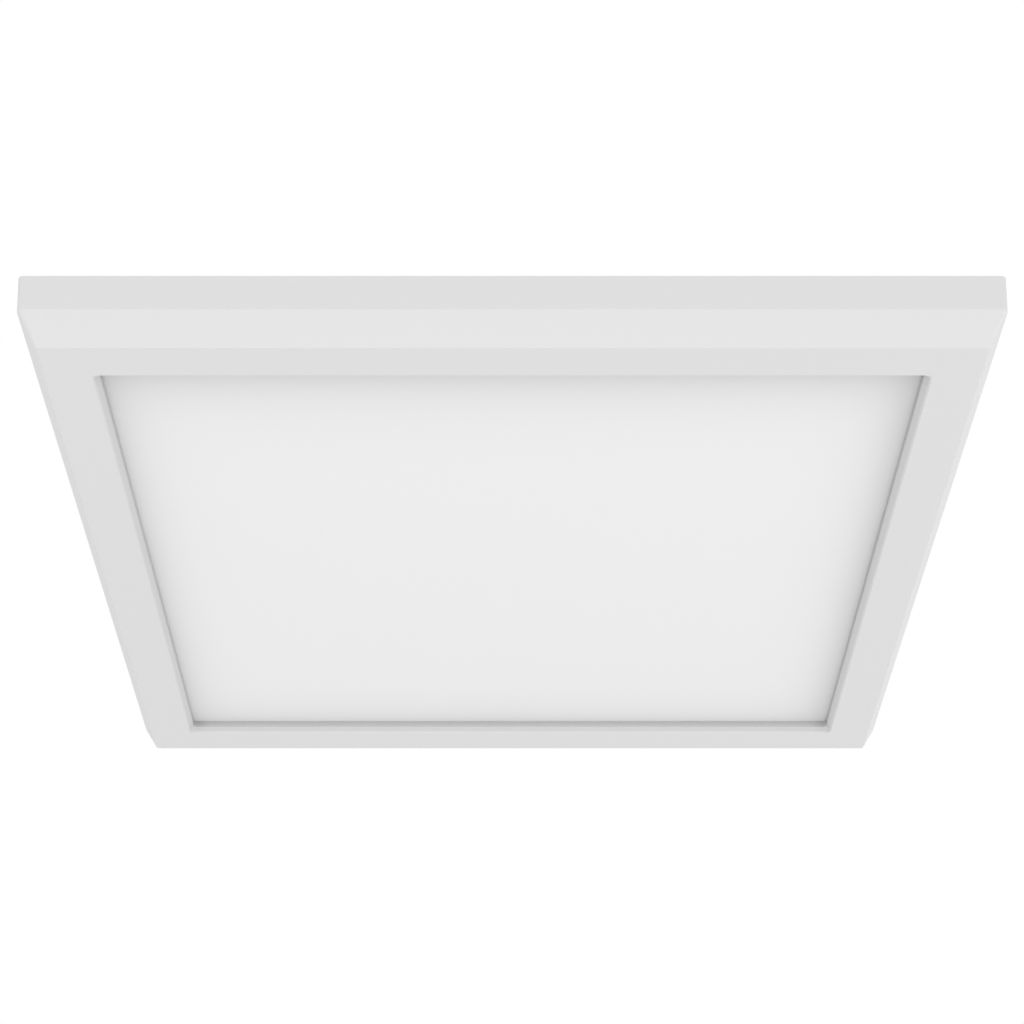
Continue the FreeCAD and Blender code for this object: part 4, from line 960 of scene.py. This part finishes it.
class DriverElectronics(bpy.types.Operator):
    """Finish the driver board and its components, wind the choke and set the solder joints"""

    bl_idname = "ceiling_light.driver_electronics"
    bl_label = "Driver electronics"

    def execute(self, context):
        details = context.scene.ceiling_light_details
        dress(green_circuit_board, "driver_board")
        dress(dark_ferrite, "driver_transformer")
        dress(capacitor_sleeve, "driver_capacitors")
        dress(black_epoxy, "driver_chips")
        self.choke(details)
        self.solder_joints(details)
        return {"FINISHED"}

    def choke(self, details):
        """A ring core with its wire wound round it, in the space of the plain ring."""
        wire = 0.28 * MM  # radius, enamel included
        clear_bore = 2.4 * MM  # inside the winding
        per_turn = 20  # points on each turn
        wound_share = 300 / 360  # of the way round the ring; the rest stays bare between the wire's ends
        low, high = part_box("driver_choke")
        centre = (low + high) / 2
        outer = (high.x - low.x) / 2 - 2 * wire
        bore = clear_bore + 2 * wire
        half_height = (high.z - low.z) / 2 - 2 * wire
        core = bmesh.new()
        ring_solid(core, RingSection(bore, outer, half_height), centre)
        core_piece = new_piece("driver_choke_core", core, green_ring_core, "light_fixture")
        wound = RingSection(bore - wire, outer + wire, half_height + wire)
        points = []
        total = details.choke_turns * per_turn
        for step in range(total + 1):
            radius, height = wound.at(step / per_turn)
            angle = 2 * math.pi * wound_share * (step / total - 0.5)
            points.append(centre + round_axis(radius, angle, height))
        curve = bpy.data.curves.new("driver_choke_wire", "CURVE")
        curve.dimensions = "3D"
        curve.bevel_depth = wire
        curve.bevel_resolution = 2
        curve.use_fill_caps = True
        spline = curve.splines.new("POLY")
        spline.points.add(len(points) - 1)
        for point, place in zip(spline.points, points):
            point.co = (*place, 1.0)
        curve.materials.append(finished(copper_winding))
        wire_piece = bpy.data.objects.new("driver_choke_wire", curve)
        bpy.context.scene.collection.objects.link(wire_piece)
        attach(wire_piece, "light_fixture")
        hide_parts("driver_choke")

    def solder_joints(self, details):
        """A fillet of solder round each output lead's end on the board."""
        end_inset, lead_offset, lead_spacing = 3.5 * MM, -2.0 * MM, 2.0 * MM
        past_end = 0.6  # of a radius, from a lead's end to the middle of its joint
        joints = bmesh.new()
        radius = details.solder_radius
        fillet = ((0, 0), (1, 0), (0.72, 0.35), (0.5, 0.9), (0, 1.05))  # share of the radius, and millimetres
        profile = [(share * radius, height * MM) for share, height in fillet]
        x = board_high.x - end_inset - radius * past_end
        middle_y = (board_low.y + board_high.y) / 2 + lead_offset
        for side in (-1, 1):
            for y in (middle_y - lead_spacing / 2, middle_y + lead_spacing / 2):
                turned(joints, profile, Vector((side * x, y, board_high.z)))
        new_piece("driver_solder", joints, bright_solder, "light_fixture")


# Outlines of the pole marks, in tenths of a mark's height.
LETTER_L = ((0, 0), (6, 0), (6, 1.6), (1.6, 1.6), (1.6, 10), (0, 10))
LETTER_N = (
    (0, 0), (1.6, 0), (1.6, 6.7), (5.9, 0), (7.5, 0),
    (7.5, 10), (5.9, 10), (5.9, 3.3), (1.6, 10), (0, 10),
)
EARTH_STEM = ((0, 3.9), (9, 3.9), (9, 5.1), (5.3, 5.1), (5.3, 10), (3.7, 10), (3.7, 5.1), (0, 5.1))
EARTH_MIDDLE_BAR = ((1.6, 1.95), (7.4, 1.95), (7.4, 3.15), (1.6, 3.15))
EARTH_LOW_BAR = ((3.1, 0), (5.9, 0), (5.9, 1.2), (3.1, 1.2))

POLE_MARKS = (  # pole, width of its mark in the same tenths, and outlines
    ("line", 6, (LETTER_L,)),
    ("neutral", 7.5, (LETTER_N,)),
    ("earth", 9, (EARTH_STEM, EARTH_MIDDLE_BAR, EARTH_LOW_BAR)),
)


class SupplyTerminal(bpy.types.Operator):
    """Finish the supply terminal, its clamps and its release buttons, and print its pole marks"""

    bl_idname = "ceiling_light.supply_terminal"
    bl_label = "Supply terminal"

    def execute(self, context):
        dress(grey_polyamide, "terminal_block")
        dress(tinned_brass, "terminal_contacts")
        dress(orange_polyamide, "line_release_button", "neutral_release_button", "earth_release_button")
        self.pole_marks(context.scene.ceiling_light_details.pole_mark)
        return {"FINISHED"}

    def pole_marks(self, height):
        """The printed L, N and earth sign in front of the buttons."""
        set_off, thickness, sunk = 1.1 * MM, 0.06 * MM, 0.02 * MM
        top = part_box("terminal_block")[1].z
        mesh = bmesh.new()
        for pole, width, outlines in POLE_MARKS:
            low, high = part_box(pole + "_release_button")
            corner = Vector(((low.x + high.x) / 2, low.y - set_off - height / 2, top - sunk))
            for outline in outlines:
                foot = [corner + Vector((x - width / 2, y, 0)) * height / 10 for x, y in outline]
                prism(mesh, foot, [point + Vector((0, 0, sunk + thickness)) for point in foot])
        new_piece("pole_marks", mesh, white_ink, "light_fixture", smooth=False)


class ColourSwitch(bpy.types.Operator):
    """Finish the colour switch and round its slider"""

    bl_idname = "ceiling_light.colour_switch"
    bl_label = "Colour switch"

    def execute(self, context):
        dress(black_polyamide, "color_switch_body")
        self.slider()
        return {"FINISHED"}

    def slider(self):
        """The slider with round upright corners, which clear the round ends of the cover's slot."""
        half_groove, groove_depth, corner_radius = 0.45 * MM, 0.45 * MM, 0.35 * MM
        low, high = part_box("color_switch_slider")
        middle = (low.x + high.x) / 2
        groove_low, groove_high = middle - half_groove, middle + half_groove
        groove_floor = high.z - groove_depth
        outline = (
            (low.x, low.z), (high.x, low.z), (high.x, high.z), (groove_high, high.z),
            (groove_high, groove_floor), (groove_low, groove_floor), (groove_low, high.z), (low.x, high.z),
        )
        mesh = bmesh.new()
        front, rear = ([Vector((x, y, z)) for x, z in outline] for y in (low.y, high.y))
        prism(mesh, front, rear)
        rise = (high.z - low.z) / 2  # only the slider's own corners rise more than this
        corners = [edge for edge in mesh.edges if abs(edge.verts[0].co.z - edge.verts[1].co.z) > rise]
        bmesh.ops.bevel(mesh, geom=corners, offset=corner_radius, segments=5, profile=0.5, affect="EDGES")
        piece = new_piece(
            "color_switch_knob", mesh, white_polyamide, "color_slider", smooth=False
        )
        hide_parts("color_switch_slider")


class OutputLeads(bpy.types.Operator):
    """Finish the output leads, their grommets and their clips"""

    bl_idname = "ceiling_light.output_leads"
    bl_label = "Output leads"

    def execute(self, context):
        dress(red_insulation, "red_output_leads")
        dress(black_insulation, "black_output_leads")
        dress(black_rubber, "lead_grommets")
        dress(white_polyamide, "lead_clips")
        return {"FINISHED"}


LAMPS = (  # name, place and side, in metres
    ("front_lamp", (0.0, -1.9, -1.9), 1.2),
    ("right_lamp", (1.9, 0.3, -0.6), 0.8),
)
FLOOR_HALF = 6.0  # from its middle to a side, in metres
FLOOR_GLOW = 0.3  # lifts the floor to near white where it is looked at


def looked_at(tree):
    """One for what the camera sees, also in a reflection or through glass, else nothing."""
    ray = add(tree, "ShaderNodeLightPath").outputs
    seen = ray["Is Camera Ray"]
    for name in ("Is Glossy Ray", "Is Transmission Ray"):
        seen = add(tree, "ShaderNodeMath", {0: seen, 1: ray[name]}, operation="MAXIMUM").outputs[0]
    return seen


class StudioStage(bpy.types.Operator):
    """Set the floor, the even room light, the lamps and the camera"""

    bl_idname = "ceiling_light.stage"
    bl_label = "Stage"

    def execute(self, context):
        stage = context.scene.ceiling_light_stage
        self.floor(stage)
        self.world(stage)
        middle = (cad_low + cad_high) / 2
        for name, place, size in LAMPS:
            self.lamp(name, Vector(place), middle, size, getattr(stage, name))
        self.camera(context, stage)
        context.scene.view_settings.view_transform = "Standard"
        return {"FINISHED"}

    def floor(self, stage):
        """A plain pale floor far below the light."""
        mesh = bmesh.new()
        bmesh.ops.create_grid(mesh, x_segments=2, y_segments=2, size=FLOOR_HALF)
        data = bpy.data.meshes.new("floor")
        mesh.to_mesh(data)
        mesh.free()
        floor = bpy.data.objects.new("floor", data)
        floor.location = (0, 0, -stage.floor_drop)
        bpy.context.scene.collection.objects.link(floor)
        # Painted board: a pale, even matt white, lifted a little where it is seen directly.
        finish = Finish("painted_floor", (linear("#EDEDED"), linear("#F0F0F0")), 60.0, 0.02, 0.8)
        finish.set(Emission_Color=(1.0, 1.0, 1.0, 1.0))
        finish.link("Emission Strength", finish.maths("MULTIPLY", looked_at(finish.tree), FLOOR_GLOW))
        data.materials.append(finish.material)

    def world(self, stage):
        """An even light, with plain white behind the object and in its reflections."""
        world = bpy.data.worlds.new("studio")
        bpy.context.scene.world = world
        world.use_nodes = True
        tree = world.node_tree
        background = tree.nodes["Background"]
        background.inputs["Color"].default_value = (1.0, 1.0, 1.0, 1.0)
        level = {"Value": looked_at(tree), "To Min": stage.room_light, "To Max": 1.0}
        tree.links.new(add(tree, "ShaderNodeMapRange", level).outputs[0], background.inputs["Strength"])

    def lamp(self, name, place, target, size, power):
        """A square soft lamp that faces a point."""
        data = bpy.data.lights.new(name, "AREA")
        data.shape = "SQUARE"
        data.size = size
        data.energy = power
        lamp = bpy.data.objects.new(name, data)
        facing = (target - place).to_track_quat("-Z", "Y").to_matrix().to_4x4()
        lamp.matrix_world = Matrix.Translation(place) @ facing
        bpy.context.scene.collection.objects.link(lamp)

    def camera(self, context, stage):
        """The photograph's view, from in front and below."""
        data = bpy.data.cameras.new("camera")
        data.sensor_width = 36.0
        data.lens = stage.camera_lens
        data.shift_x = stage.camera_shift
        data.clip_start = 0.01
        camera = bpy.data.objects.new("camera", data)
        camera.location = stage.camera_place
        camera.rotation_euler = (math.radians(90) + stage.camera_tilt, 0, 0)
        context.scene.collection.objects.link(camera)
        context.scene.camera = camera


# ---- Add-on ----

OPERATORS = (
    FrameFinish,
    OpticsFinish,
    LightStrips,
    EdgeSpacers,
    BackPan,
    CeilingMount,
    SpringClips,
    DriverHousing,
    DriverElectronics,
    SupplyTerminal,
    ColourSwitch,
    OutputLeads,
    StudioStage,
)


class CeilingLightPanel(bpy.types.Panel):
    """Settings of the ceiling light, and a button for each group of pieces"""

    bl_idname = "VIEW3D_PT_ceiling_light"
    bl_label = "Ceiling Light"
    bl_space_type = "VIEW_3D"
    bl_region_type = "UI"
    bl_category = "Ceiling Light"

    def draw(self, context):
        for group in ("finishes", "details", "stage"):
            settings = getattr(context.scene, "ceiling_light_" + group)
            box = self.layout.box()
            for name in settings.__annotations__:
                box.prop(settings, name)
        for operator in OPERATORS:
            self.layout.operator(operator.bl_idname)


CLASSES = (CeilingLightFinishes, CeilingLightDetails, CeilingLightStage, *OPERATORS, CeilingLightPanel)


def register():
    """Register the classes and hang the settings on the scene."""
    for each in CLASSES:
        bpy.utils.register_class(each)
    bpy.types.Scene.ceiling_light_finishes = bpy.props.PointerProperty(type=CeilingLightFinishes)
    bpy.types.Scene.ceiling_light_details = bpy.props.PointerProperty(type=CeilingLightDetails)
    bpy.types.Scene.ceiling_light_stage = bpy.props.PointerProperty(type=CeilingLightStage)


def unregister():
    """Take the settings and the classes away again."""
    del bpy.types.Scene.ceiling_light_stage
    del bpy.types.Scene.ceiling_light_details
    del bpy.types.Scene.ceiling_light_finishes
    for each in reversed(CLASSES):
        bpy.utils.unregister_class(each)


def main():
    """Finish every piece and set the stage."""
    register()
    for operator in OPERATORS:
        group, name = operator.bl_idname.split(".")
        getattr(getattr(bpy.ops, group), name)()


if __name__ == "__main__":
    main()
